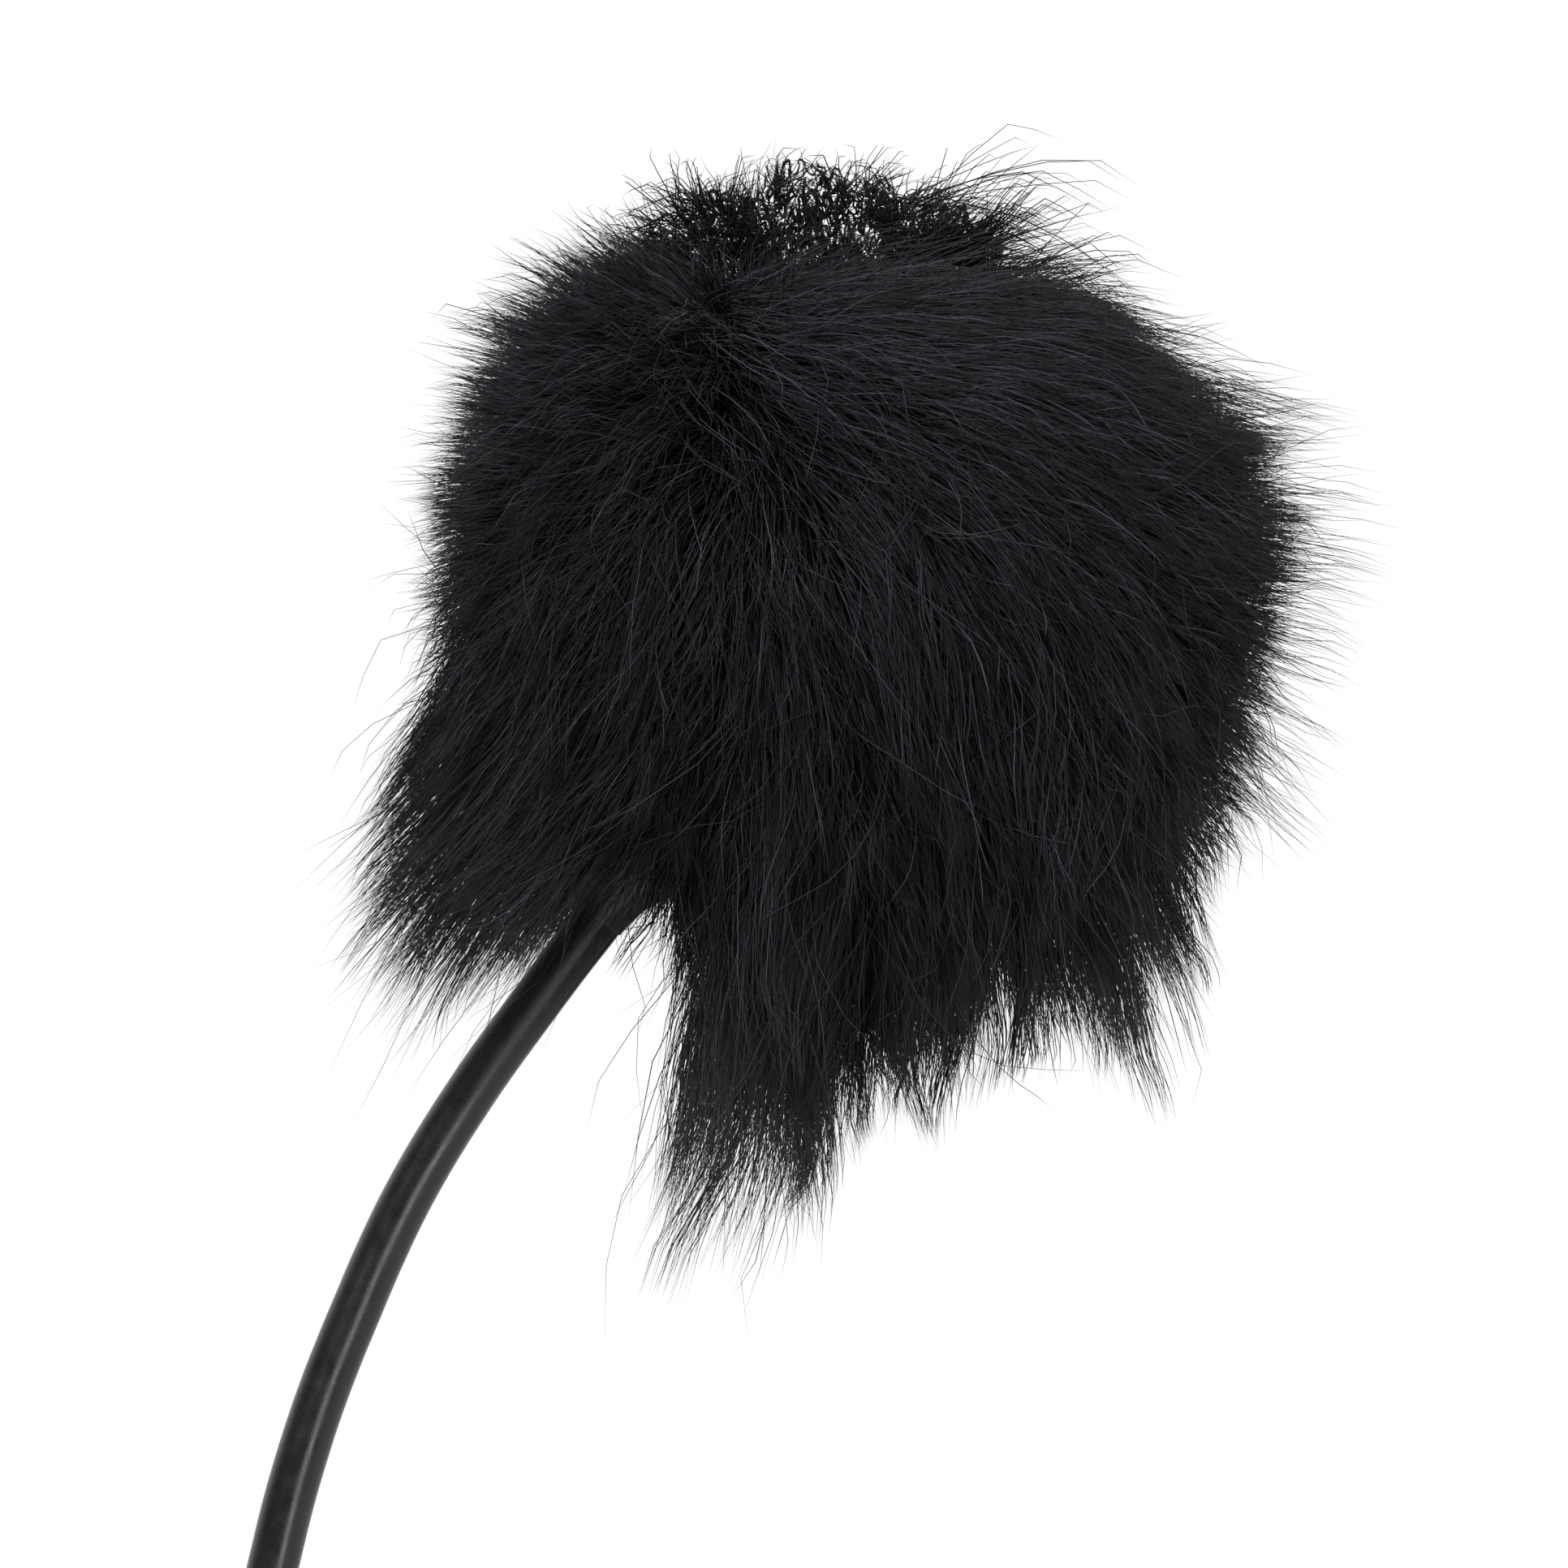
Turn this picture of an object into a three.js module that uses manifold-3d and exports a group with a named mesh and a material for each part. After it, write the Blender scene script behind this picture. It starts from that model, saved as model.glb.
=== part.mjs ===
// A small faux-fur windscreen on a clip-on microphone, with the microphone's cable.
// Millimetres, +Z up, seen from -Y in the photograph. The origin is on the microphone's axis,
// at the lower end of its barrel, where a clip holds it up.

import * as THREE from 'three';
import { mergeVertices } from 'three/addons/utils/BufferGeometryUtils.js';
import Module from 'manifold-3d';

const wasm = await Module();
wasm.setup();

// Clearances

const slip = 0.3; // between the windscreen and the microphone, and between soft pieces
const fit = 0.15; // between the fixed pieces of the microphone and of the plug
const overrun = 1; // how far a cutter reaches past what it cuts

// Microphone: a metal barrel that leans to the right, with the boot at its lower end

const micLean = THREE.MathUtils.degToRad(38);
const barrelRadius = 3;
const barrelWall = 0.35;
const barrelLength = 11.7;
const barrelFloor = 0.8;

const capLength = 1.65;
const capPlate = 0.5;
const capChamfer = 0.3;
const spigotLength = 1.1;
const spigotWall = 0.35;
const soundHoleRadius = 0.35;
const soundHoleCircle = 1.2;
const soundHoles = 6;

const meshThickness = 0.12;
const feltThickness = 0.35;

const canHeight = 2.5;
const canWall = 0.15;
const canHoleRadius = 0.5;
const diaphragmRingThickness = 0.2;
const diaphragmRingWidth = 0.45;
const diaphragmThickness = 0.06;
const spacerThickness = 0.12;
const spacerWidth = 0.35;
const backplateThickness = 0.25;
const backplateHoleRadius = 0.2;
const backplateHoleCircle = 0.8;
const backplateHoles = 4;
const holderHeight = 0.6;
const holderWidth = 0.4;
const boardThickness = 0.3;
const chipLength = 0.9;
const chipWidth = 0.7;
const chipHeight = 0.3;
const gasketLip = 0.6;
const gasketLipThickness = 0.6;

const bootLength = 3.8;
const bootTipWall = 0.15; // outside the cable
const bootBaseRadius = 2;
const bootTaperShare = 0.7; // of the boot's length, from its tip
const bootFlangeThickness = 0.55;
const bootTipRounding = 0.15;
const crimpWall = 0.5;
const crimpLength = 1.6;
const wireRadius = 0.2;
const wirePadShare = 0.46; // of the gasket's hole, from the axis
const wirePadStraight = 1.2;
const wireSteps = 16;

// Windscreen: foam in a bag of knit backing that carries the pile, with an elastic hem

const foamRadius = 12;
const ballHeight = 12.8; // of the ball's centre over the barrel's lower end
const backingThickness = 0.8;
const hemWall = 0.35;
const elasticRadius = 0.5;
const pileLength = 4.4;
const pileDepth = 2.4; // length of the pile at the front and back of the ball
const crestHeight = 4.4;
const crestThickness = 1.6;

// Length of the pile at angles from +X towards +Z, as shares of its length
const pileShares = [
  [-180, 0.8], [-170, 0.88], [-165, 1], [-160, 1.25], [-155, 1.6], [-150, 1.95], [-145, 2.15], [-138, 2.2],
  [-135, 1.9], [-132.5, 1.1], [-129, 0.5], [-123, 0.39], [-119, 0.42], [-115, 0.65], [-111, 1], [-108, 1.6],
  [-105, 2.4], [-99, 2.45], [-94, 2.25], [-90, 1.75], [-85, 1.5], [-78, 1.4], [-70, 1.2], [-64, 1.25],
  [-59, 1.55], [-53, 1.75], [-49, 1.6], [-44, 1.3], [-37, 1.1], [-25, 1.05], [-10, 0.95], [0, 0.92],
  [10, 1.2], [20, 1.02], [28, 0.95], [36, 0.78], [45, 0.66], [54, 0.5], [86, 0.45], [117, 0.5],
  [123, 1], [131, 1.02], [148, 1.05], [160, 0.93], [172, 0.82], [180, 0.8],
];
// Height of the crest at angles from +X towards +Z, as shares of its height
const crestShares = [
  [50, 0.55], [55, 0.82], [60, 0.86], [65, 0.9], [70, 0.98], [75, 0.96], [80, 1.02], [86, 0.98],
  [92, 1.04], [98, 1], [104, 1.06], [110, 1.04], [115, 1.12], [120, 0.8],
];
const lobeFade = 3; // how fast the lobes thin out towards the front and back, as a power
const pileColumns = 72;
const pileRows = 14;

// Cable: its route from the boot down to the coil, then the coil, its tie and the plug

const cableRadius = 1.05;
const cableSides = 8;
const cableStep = 4.2;
const cableRoute = [
  [-5.13, 0, -6.65], [-6.8, 0, -8.93], [-8.16, -0.1, -10.95], [-9.4, -0.4, -12.96], [-10.48, -0.8, -14.95],
  [-11.41, -1.2, -16.94], [-12.24, -1.7, -18.92], [-13.04, -2.15, -20.88], [-13.76, -2.65, -22.83],
  [-14.38, -3.1, -24.78], [-14.93, -3.5, -26.73], [-15.4, -3.75, -28.69], [-15.7, -3.87, -30.1],
  [-15.75, -3.9, -31.4], [-15.75, -3.9, -33.5],
];
const coilGap = 0.5; // between neighbouring turns and layers
const coilLayers = 4;
const layerTurns = 3.75;
const coilInnerRadius = 7.2; // of the innermost turn's centre line
const coilLeadRadius = 8;
const coilLeadTurn = THREE.MathUtils.degToRad(65);
const loopSteps = 24;
const loopSides = 6;
const tailLength = 8;
const tieWidth = 4;
const tieThickness = 0.8;
const tieAngle = THREE.MathUtils.degToRad(72);

const plugBootLength = 8;
const plugBootTipRadius = 1.5;
const plugBootBaseRadius = 2.4;
const handleRadius = 3.25;
const handleLength = 18;
const handleChamfer = 0.5;
const gripDepth = 0.25;
const gripLength = 1;
const gripGrooves = 3;
const gripStart = 5;
const pinRadius = 1.75;
const socketDepth = 1.5; // of the pin in the handle
const sleeveLength = 6; // outside the handle
const insulatorLength = 0.7;
const ringLength = 2.4;
const tipLength = 3.9;
const tipNeckRadius = 1.1;
const tipNeckShare = 0.31; // places along the tip
const tipShoulderShare = 0.56;
const tipEndRadius = 0.4;

// Geometry helpers

const roundSides = 24;
const wideSides = 32; // round the foam, the bag and the hem
const smallSides = 12;

function lathe(profile, segments = roundSides) {
  const points = profile.map(([r, z]) => new THREE.Vector2(r, z));
  return new THREE.LatheGeometry(points, segments).rotateX(Math.PI / 2);
}

function ring(inner, outer, low, high, segments = roundSides) {
  return lathe([[inner, low], [outer, low], [outer, high], [inner, high], [inner, low]], segments);
}

function disc(radius, low, high, segments = roundSides) {
  return lathe([[0, low], [radius, low], [radius, high], [0, high]], segments);
}

function boxBetween(low, high) {
  const size = high.map((value, i) => value - low[i]);
  const middle = high.map((value, i) => (value + low[i]) / 2);
  return new THREE.BoxGeometry(...size).translate(...middle);
}

function circleShape(radius, sides) {
  const corners = [];
  for (let i = 0; i < sides; i += 1) {
    const angle = (i / sides) * 2 * Math.PI;
    corners.push(new THREE.Vector2(radius * Math.cos(angle), radius * Math.sin(angle)));
  }
  return new THREE.Shape(corners);
}

function tubeAlong(points, radius, sides, steps) {
  const path = new THREE.CatmullRomCurve3(points.map((p) => new THREE.Vector3(...p)));
  const options = { extrudePath: path, steps, bevelEnabled: false };
  return new THREE.ExtrudeGeometry(circleShape(radius, sides), options);
}

// One closed tube with a ring of corners at each of the points
function tubeThrough(points, radius, sides) {
  const positions = [];
  const faces = [];
  const side = new THREE.Vector3(0, 1, 0);
  points.forEach((point, i) => {
    const ahead = points[Math.min(i + 1, points.length - 1)];
    const tangent = ahead.clone().sub(points[Math.max(i - 1, 0)]).normalize();
    side.addScaledVector(tangent, -side.dot(tangent)).normalize();
    const other = tangent.clone().cross(side);
    for (let j = 0; j < sides; j += 1) {
      const angle = (j / sides) * 2 * Math.PI;
      const corner = point.clone().addScaledVector(side, radius * Math.cos(angle));
      positions.push(...corner.addScaledVector(other, radius * Math.sin(angle)).toArray());
    }
  });
  for (let i = 0; i + 1 < points.length; i += 1) {
    for (let j = 0; j < sides; j += 1) {
      const a = i * sides + j;
      const b = i * sides + ((j + 1) % sides);
      faces.push(a, b, b + sides, a, b + sides, a + sides);
    }
  }
  const last = (points.length - 1) * sides;
  for (let j = 1; j + 1 < sides; j += 1) {
    faces.push(0, j + 1, j, last, last + j, last + j + 1);
  }
  const geometry = new THREE.BufferGeometry();
  geometry.setAttribute('position', new THREE.Float32BufferAttribute(positions, 3));
  geometry.setIndex(faces);
  return geometry;
}

function solid(geometry) {
  const bare = geometry.clone();
  bare.deleteAttribute('normal');
  bare.deleteAttribute('uv');
  const merged = mergeVertices(bare);
  return new wasm.Manifold(new wasm.Mesh({
    numProp: 3,
    vertProperties: new Float32Array(merged.attributes.position.array),
    triVerts: new Uint32Array(merged.index.array),
  }));
}

function geometryOf(manifold) {
  const mesh = manifold.getMesh();
  const geometry = new THREE.BufferGeometry();
  geometry.setAttribute('position', new THREE.Float32BufferAttribute(mesh.vertProperties, 3));
  geometry.setIndex(Array.from(mesh.triVerts));
  geometry.computeVertexNormals();
  return geometry;
}

function cut(geometry, ...cutters) {
  return geometryOf(cutters.reduce((left, cutter) => left.subtract(solid(cutter)), solid(geometry)));
}

function piece(parent, name, geometry, color, roughness, metalness = 0) {
  const mesh = new THREE.Mesh(geometry, new THREE.MeshStandardMaterial({ color, roughness, metalness }));
  mesh.name = name;
  parent.add(mesh);
  return mesh;
}

// The share at an angle in degrees, eased between the table's places
function shareAt(table, degrees) {
  const next = table.findIndex(([angle]) => angle >= degrees);
  if (next <= 0) return next === 0 ? table[0][1] : table[table.length - 1][1];
  const [a, from] = table[next - 1];
  const [b, to] = table[next];
  return THREE.MathUtils.lerp(from, to, THREE.MathUtils.smoothstep(degrees, a, b));
}

const micAxis = new THREE.Vector3(Math.sin(micLean), 0, Math.cos(micLean));
const furryWindscreen = new THREE.Group();
const microphone = new THREE.Group();
const windscreen = new THREE.Group();
microphone.rotation.y = micLean;
windscreen.rotation.y = micLean;
furryWindscreen.add(microphone, windscreen);

// Barrel and grille cap

const barrelInner = barrelRadius - barrelWall;
const barrelHoleRadius = bootBaseRadius + fit;
const capBottom = barrelLength + fit;
const capTop = capBottom + capLength;
const plateBottom = capTop - capPlate;
const spigotRadius = barrelInner - fit;
const spigotInner = spigotRadius - spigotWall;
const spigotBottom = capBottom - spigotLength;

piece(microphone, 'mic_barrel', lathe([
  [barrelHoleRadius, 0], [barrelRadius, 0], [barrelRadius, barrelLength], [barrelInner, barrelLength],
  [barrelInner, barrelFloor], [barrelHoleRadius, barrelFloor], [barrelHoleRadius, 0],
]), 0x141416, 0.42, 0.6);

const holeCutters = [disc(soundHoleRadius, plateBottom - overrun, capTop + overrun, smallSides)];
for (let i = 0; i < soundHoles; i += 1) {
  const angle = (i / soundHoles) * 2 * Math.PI;
  holeCutters.push(holeCutters[0].clone().translate(
    soundHoleCircle * Math.cos(angle), soundHoleCircle * Math.sin(angle), 0));
}
piece(microphone, 'grille_cap', cut(lathe([
  [spigotInner, spigotBottom], [spigotRadius, spigotBottom], [spigotRadius, capBottom],
  [barrelRadius, capBottom], [barrelRadius, capTop - capChamfer], [barrelRadius - capChamfer, capTop],
  [0, capTop], [0, plateBottom], [spigotInner, plateBottom], [spigotInner, spigotBottom],
]), ...holeCutters), 0x141416, 0.42, 0.6);

// Sound inlet: woven mesh and felt under the cap's plate

const inletRadius = spigotInner - fit;
const meshTop = plateBottom - fit;
const feltTop = meshTop - meshThickness - fit;
const canTop = feltTop - feltThickness - fit;
piece(microphone, 'grille_mesh', disc(inletRadius, meshTop - meshThickness, meshTop), 0x8f9296, 0.35, 0.9);
piece(microphone, 'felt_disc', disc(inletRadius, feltTop - feltThickness, feltTop), 0x2a2a2c, 0.95);

// Electret capsule: can, diaphragm on its ring, spacer, backplate, holder and amplifier board

const canBottom = canTop - canHeight;
const canInner = inletRadius - canWall;
const stackRadius = canInner - fit;
const ringTop = canTop - canWall - fit;
const diaphragmTop = ringTop - diaphragmRingThickness - fit;
const spacerTop = diaphragmTop - diaphragmThickness - fit;
const backplateTop = spacerTop - spacerThickness - fit;
const backplateBottom = backplateTop - backplateThickness;
const holderTop = backplateBottom - fit;
const boardTop = holderTop - holderHeight - fit;
const boardBottom = boardTop - boardThickness;

piece(microphone, 'capsule_can', lathe([
  [inletRadius, canBottom], [inletRadius, canTop], [canHoleRadius, canTop], [canHoleRadius, canTop - canWall],
  [canInner, canTop - canWall], [canInner, canBottom], [inletRadius, canBottom],
]), 0xb9bbbd, 0.3, 0.9);
piece(microphone, 'diaphragm_ring',
  ring(stackRadius - diaphragmRingWidth, stackRadius, ringTop - diaphragmRingThickness, ringTop),
  0xb08d4a, 0.35, 0.9);
piece(microphone, 'diaphragm',
  disc(stackRadius, diaphragmTop - diaphragmThickness, diaphragmTop), 0xc9ccd0, 0.2, 0.8);
piece(microphone, 'diaphragm_spacer',
  ring(stackRadius - spacerWidth, stackRadius, spacerTop - spacerThickness, spacerTop), 0xe8e4d8, 0.6);

const plateHoles = [];
for (let i = 0; i < backplateHoles; i += 1) {
  const angle = (i / backplateHoles) * 2 * Math.PI;
  plateHoles.push(disc(backplateHoleRadius, backplateBottom - overrun, backplateTop + overrun, smallSides)
    .translate(backplateHoleCircle * Math.cos(angle), backplateHoleCircle * Math.sin(angle), 0));
}
piece(microphone, 'backplate',
  cut(disc(stackRadius, backplateBottom, backplateTop), ...plateHoles), 0xb08d4a, 0.35, 0.9);
piece(microphone, 'backplate_holder',
  ring(stackRadius - holderWidth, stackRadius, holderTop - holderHeight, holderTop), 0xe8e4d8, 0.6);
piece(microphone, 'amplifier_board', disc(stackRadius, boardBottom, boardTop), 0x1f5a33, 0.5);
piece(microphone, 'amplifier_chip', boxBetween(
  [-chipLength / 2, -chipWidth / 2, boardTop + fit],
  [chipLength / 2, chipWidth / 2, boardTop + fit + chipHeight]), 0x111111, 0.4);

// Rubber sleeve that holds the capsule in the barrel

const lipTop = Math.min(canBottom, boardBottom) - fit;
const lipInner = inletRadius - gasketLip;
piece(microphone, 'capsule_gasket', lathe([
  [lipInner, lipTop - gasketLipThickness], [barrelInner - fit, lipTop - gasketLipThickness],
  [barrelInner - fit, spigotBottom - fit], [inletRadius + fit, spigotBottom - fit],
  [inletRadius + fit, lipTop], [lipInner, lipTop], [lipInner, lipTop - gasketLipThickness],
]), 0x1a1a1a, 0.85);

// Cable boot through the barrel's floor, the crimp above it and the two wires to the board

const flangeBottom = barrelFloor + fit;
const flangeTop = flangeBottom + bootFlangeThickness;
const flangeRadius = barrelInner - fit;
const bootTipRadius = cableRadius + bootTipWall;
const wireSpread = wireRadius + fit; // from the axis, in the boot
const bootBore = wireSpread + wireRadius + fit;
piece(microphone, 'cable_boot', lathe([
  [bootBore, -bootLength], [bootTipRadius - bootTipRounding, -bootLength],
  [bootTipRadius, -bootLength + bootTipRounding], [bootBaseRadius, -bootLength * (1 - bootTaperShare)],
  [bootBaseRadius, flangeBottom], [flangeRadius, flangeBottom], [flangeRadius, flangeTop],
  [bootBore, flangeTop], [bootBore, -bootLength],
]), 0x151517, 0.55);

const crimpInner = bootBore + fit;
const crimpBottom = flangeTop + fit;
const crimpTop = crimpBottom + crimpLength;
piece(microphone, 'crimp_ring',
  ring(crimpInner, crimpInner + crimpWall, crimpBottom, crimpTop), 0xb9bbbd, 0.35, 0.9);

const wireTop = boardBottom - fit;
const wirePadSpread = lipInner * wirePadShare;
function wire(name, side, color) {
  piece(microphone, name, tubeAlong([
    [side * wirePadSpread, 0, wireTop], [side * wirePadSpread, 0, wireTop - wirePadStraight],
    [side * wireSpread, 0, crimpTop + fit], [side * wireSpread, 0, flangeTop],
    [side * wireSpread, 0, -bootLength + fit],
  ], wireRadius, loopSides, wireSteps), color, 0.5);
}
wire('signal_wire', 1, 0xa02020);
wire('ground_wire', -1, 0xc8c8c8);

// Foam core, a ball with a blind bore for the microphone

const boreRadius = barrelRadius + slip;
const boreTop = capTop + slip;
const hemChannel = 2 * (elasticRadius + fit);
const hemChannelInner = boreRadius + hemWall;
const hemChannelOuter = hemChannelInner + hemChannel;
const hemRadius = hemChannelOuter + hemWall;
const elasticRing = hemChannelInner + hemChannel / 2;
const arcSteps = 10;

// Height below the ball's centre where a ball of a radius is as wide as its foot
function footHeight(radius, footRadius) {
  return ballHeight - Math.sqrt(radius ** 2 - footRadius ** 2);
}

// Points of a ball's outline from its flat foot up to its top, on the axis
function ballArc(radius, foot) {
  const start = Math.asin((foot - ballHeight) / radius);
  const points = [];
  for (let i = 0; i < arcSteps; i += 1) {
    const angle = THREE.MathUtils.lerp(start, Math.PI / 2, i / arcSteps);
    points.push([radius * Math.cos(angle), ballHeight + radius * Math.sin(angle)]);
  }
  return [...points, [0, ballHeight + radius]];
}

const foamFoot = footHeight(foamRadius, hemRadius + slip);
piece(windscreen, 'foam_core', lathe([
  [boreRadius, foamFoot], ...ballArc(foamRadius, foamFoot), [0, boreTop], [boreRadius, boreTop],
  [boreRadius, foamFoot],
], wideSides), 0x1b1b1d, 0.95);

// Hem, folded round its elastic just below the bag's mouth

const backingInner = foamRadius + slip;
const backingRadius = backingInner + backingThickness;
const backingFoot = footHeight(backingInner, elasticRing);
const hemTop = backingFoot - slip;
const hemBottom = hemTop - hemWall - hemChannel - 2 * fit;
piece(windscreen, 'hem_band', lathe([
  [boreRadius, hemBottom], [hemRadius, hemBottom], [hemRadius, hemTop], [hemChannelOuter, hemTop],
  [hemChannelOuter, hemBottom + hemWall], [hemChannelInner, hemBottom + hemWall], [hemChannelInner, hemTop],
  [boreRadius, hemTop], [boreRadius, hemBottom],
], wideSides), 0x17171a, 0.9);
piece(windscreen, 'hem_elastic',
  new THREE.TorusGeometry(elasticRing, elasticRadius, cableSides, wideSides)
    .translate(0, 0, hemBottom + hemWall + fit + elasticRadius), 0x202022, 0.8);

// Knit backing: a bag of two panels, sewn edge to edge in the plane of the photograph

const bag = lathe([
  ...ballArc(backingRadius, backingFoot), ...ballArc(backingInner, backingFoot).reverse(),
  ballArc(backingRadius, backingFoot)[0],
], wideSides);

const pileInner = backingRadius + slip;
const longestPile = pileLength * Math.max(...pileShares.map(([, share]) => share));
const reach = ballHeight + pileInner + longestPile + overrun;

// What a panel leaves out: everything past the seam, and half the slip. Side is -1 in front and 1 behind
function pastSeam(side) {
  const [near, far] = [(side * slip) / 2, -side * reach].sort((a, b) => a - b);
  return boxBetween([-reach, near, -reach], [reach, far, reach]);
}

piece(windscreen, 'backing_front', cut(bag, pastSeam(-1)), 0x0f0f11, 0.95);
piece(windscreen, 'backing_back', cut(bag, pastSeam(1)), 0x0f0f11, 0.95);

// Crest: the sewn top edge of the bag, which stands up out of the pile with little hair on it

const ball = new THREE.Group();
ball.position.copy(micAxis).multiplyScalar(ballHeight);
furryWindscreen.add(ball);

function crestPoint(radius, degrees) {
  const angle = THREE.MathUtils.degToRad(degrees);
  return new THREE.Vector2(radius * Math.cos(angle), radius * Math.sin(angle));
}

function crestSlab(inner, shares, extra, thickness) {
  const top = shares.map(([angle, share]) => crestPoint(pileInner + crestHeight * share + extra, angle));
  const foot = shares.map(([angle]) => crestPoint(inner, angle)).reverse();
  const outline = new THREE.Shape([...top, ...foot]);
  return new THREE.ExtrudeGeometry(outline, { depth: thickness, bevelEnabled: false })
    .rotateX(Math.PI / 2).translate(0, thickness / 2, 0);
}

piece(ball, 'seam_crest', crestSlab(pileInner, crestShares, 0, crestThickness), 0x0f0f11, 0.95);

// Pile: the fur's outer shape, with its two hanging lobes and the notch that the cable leaves by

function pileBody() {
  const positions = [];
  const faces = [];
  const rows = pileRows - 1;
  for (let j = 1; j <= rows; j += 1) {
    const latitude = (j / pileRows - 0.5) * Math.PI;
    for (let i = 0; i < pileColumns; i += 1) {
      const degrees = (i / pileColumns) * 360 - 180;
      const side = pileInner + pileLength * shareAt(pileShares, degrees);
      const front = pileInner + pileDepth;
      const radius = THREE.MathUtils.lerp(front, side, Math.cos(latitude) ** lobeFade);
      const flat = radius * Math.cos(latitude);
      const angle = THREE.MathUtils.degToRad(degrees);
      positions.push(flat * Math.cos(angle), radius * Math.sin(latitude), flat * Math.sin(angle));
    }
  }
  positions.push(0, -pileInner - pileDepth, 0, 0, pileInner + pileDepth, 0);
  const front = rows * pileColumns;
  const top = (rows - 1) * pileColumns;
  for (let i = 0; i < pileColumns; i += 1) {
    const next = (i + 1) % pileColumns;
    for (let j = 0; j + 1 < rows; j += 1) {
      const a = j * pileColumns + i;
      const b = j * pileColumns + next;
      faces.push(a, b + pileColumns, b, a, a + pileColumns, b + pileColumns);
    }
    faces.push(front, i, next, front + 1, top + next, top + i);
  }
  const geometry = new THREE.BufferGeometry();
  geometry.setAttribute('position', new THREE.Float32BufferAttribute(positions, 3));
  geometry.setIndex(faces);
  return geometry;
}

// A round mouth along the microphone's axis, wide enough for the hem
const mouth = disc(hemRadius + slip, -reach - ballHeight, 0).rotateY(micLean);
const hollow = new THREE.SphereGeometry(pileInner, wideSides, wideSides / 2);
const crestAngles = crestShares.map(([angle]) => angle);
const crestMargin = THREE.MathUtils.radToDeg(slip / pileInner);
const slotAngles = [
  crestAngles[0] - crestMargin, ...crestAngles, crestAngles[crestAngles.length - 1] + crestMargin,
];
const slotShares = slotAngles.map((angle) => [angle, 1]);
const crestSlot = crestSlab(pileInner - overrun, slotShares, crestHeight, crestThickness + 2 * slip);
const pile = pileBody();
piece(ball, 'pile_front', cut(pile, hollow, mouth, crestSlot, pastSeam(-1)), 0x0b0b0d, 0.9);
piece(ball, 'pile_back', cut(pile, hollow, mouth, crestSlot, pastSeam(1)), 0x0b0b0d, 0.9);

// Cable from the boot, down in the photographed curve

const cableStart = micAxis.clone().multiplyScalar(-bootLength - slip);
const cableStraight = micAxis.clone().multiplyScalar(-bootLength - slip - 2 * cableRadius);
const runPoints = [cableStart.toArray(), cableStraight.toArray(), ...cableRoute];
const runCurve = new THREE.CatmullRomCurve3(runPoints.map((p) => new THREE.Vector3(...p)));
const runSteps = Math.round(runCurve.getLength() / cableStep) * 2;
piece(furryWindscreen, 'cable_run', tubeAlong(runPoints, cableRadius, cableSides, runSteps), 0x1a1a1c, 0.38);

// Coil: a short hook to the left, then turns that spiral in and out again in four layers

const coilPitch = 2 * cableRadius + coilGap;
const coilOuterRadius = coilInnerRadius + coilPitch * layerTurns;
const runEnd = new THREE.Vector3(...cableRoute[cableRoute.length - 1]);
const hookTop = runEnd.clone().add(new THREE.Vector3(0, 0, -slip));
const bendStart = hookTop.clone().add(new THREE.Vector3(0, 0, -2 * cableRadius));
const bendPoint = (turn) => bendStart.clone().add(new THREE.Vector3(
  coilLeadRadius * (Math.cos(turn) - 1), 0, -coilLeadRadius * Math.sin(turn)));
const firstAngle = Math.PI - coilLeadTurn;
const coilCentre = bendPoint(coilLeadTurn).sub(new THREE.Vector3(
  coilOuterRadius * Math.cos(firstAngle), 0, coilOuterRadius * Math.sin(firstAngle)));

function coilPoint(turns) {
  const layer = Math.min(Math.floor(turns / layerTurns), coilLayers - 1);
  const along = turns - layer * layerTurns;
  const radius = layer % 2 === 0 ? coilOuterRadius - coilPitch * along : coilInnerRadius + coilPitch * along;
  const nearest = Math.round(turns / layerTurns);
  const climbing = nearest > 0 && nearest < coilLayers;
  const climb = climbing ? THREE.MathUtils.smoothstep(turns - nearest * layerTurns, -0.25, 0.25) - 1 : 0;
  const depth = coilPitch * (climbing ? nearest + climb : layer);
  const angle = firstAngle + turns * 2 * Math.PI;
  return new THREE.Vector3(coilCentre.x + radius * Math.cos(angle), runEnd.y + depth,
    coilCentre.z + radius * Math.sin(angle));
}

const coilPoints = [hookTop, bendStart];
const bendSteps = 5;
for (let i = 1; i < bendSteps; i += 1) coilPoints.push(bendPoint((coilLeadTurn * i) / bendSteps));
// Whole turns and the lead's share of one, so that the cable leaves downwards
const spiralTurns = Math.round(coilLayers * layerTurns) + coilLeadTurn / (2 * Math.PI);
const spiralSteps = Math.round(spiralTurns * loopSteps);
for (let i = 0; i <= spiralSteps; i += 1) coilPoints.push(coilPoint((i / spiralSteps) * spiralTurns));
const coilEnd = coilPoint(spiralTurns).add(new THREE.Vector3(0, 0, -2 * cableRadius));
coilPoints.push(coilEnd);
piece(furryWindscreen, 'cable_coil', tubeThrough(coilPoints, cableRadius, loopSides), 0x1a1a1c, 0.38);

function pathLength(points) {
  return points.slice(1).reduce((sum, point, i) => sum + point.distanceTo(points[i]), 0);
}

function leastGap(points, width) {
  let least = Infinity;
  for (let i = 0; i < points.length; i += 1) {
    for (let j = i + loopSteps / 3; j < points.length; j += 1) {
      least = Math.min(least, points[i].distanceTo(points[j]) - width);
    }
  }
  return least;
}

// Tail of the cable, hanging down from the coil to the plug

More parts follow.
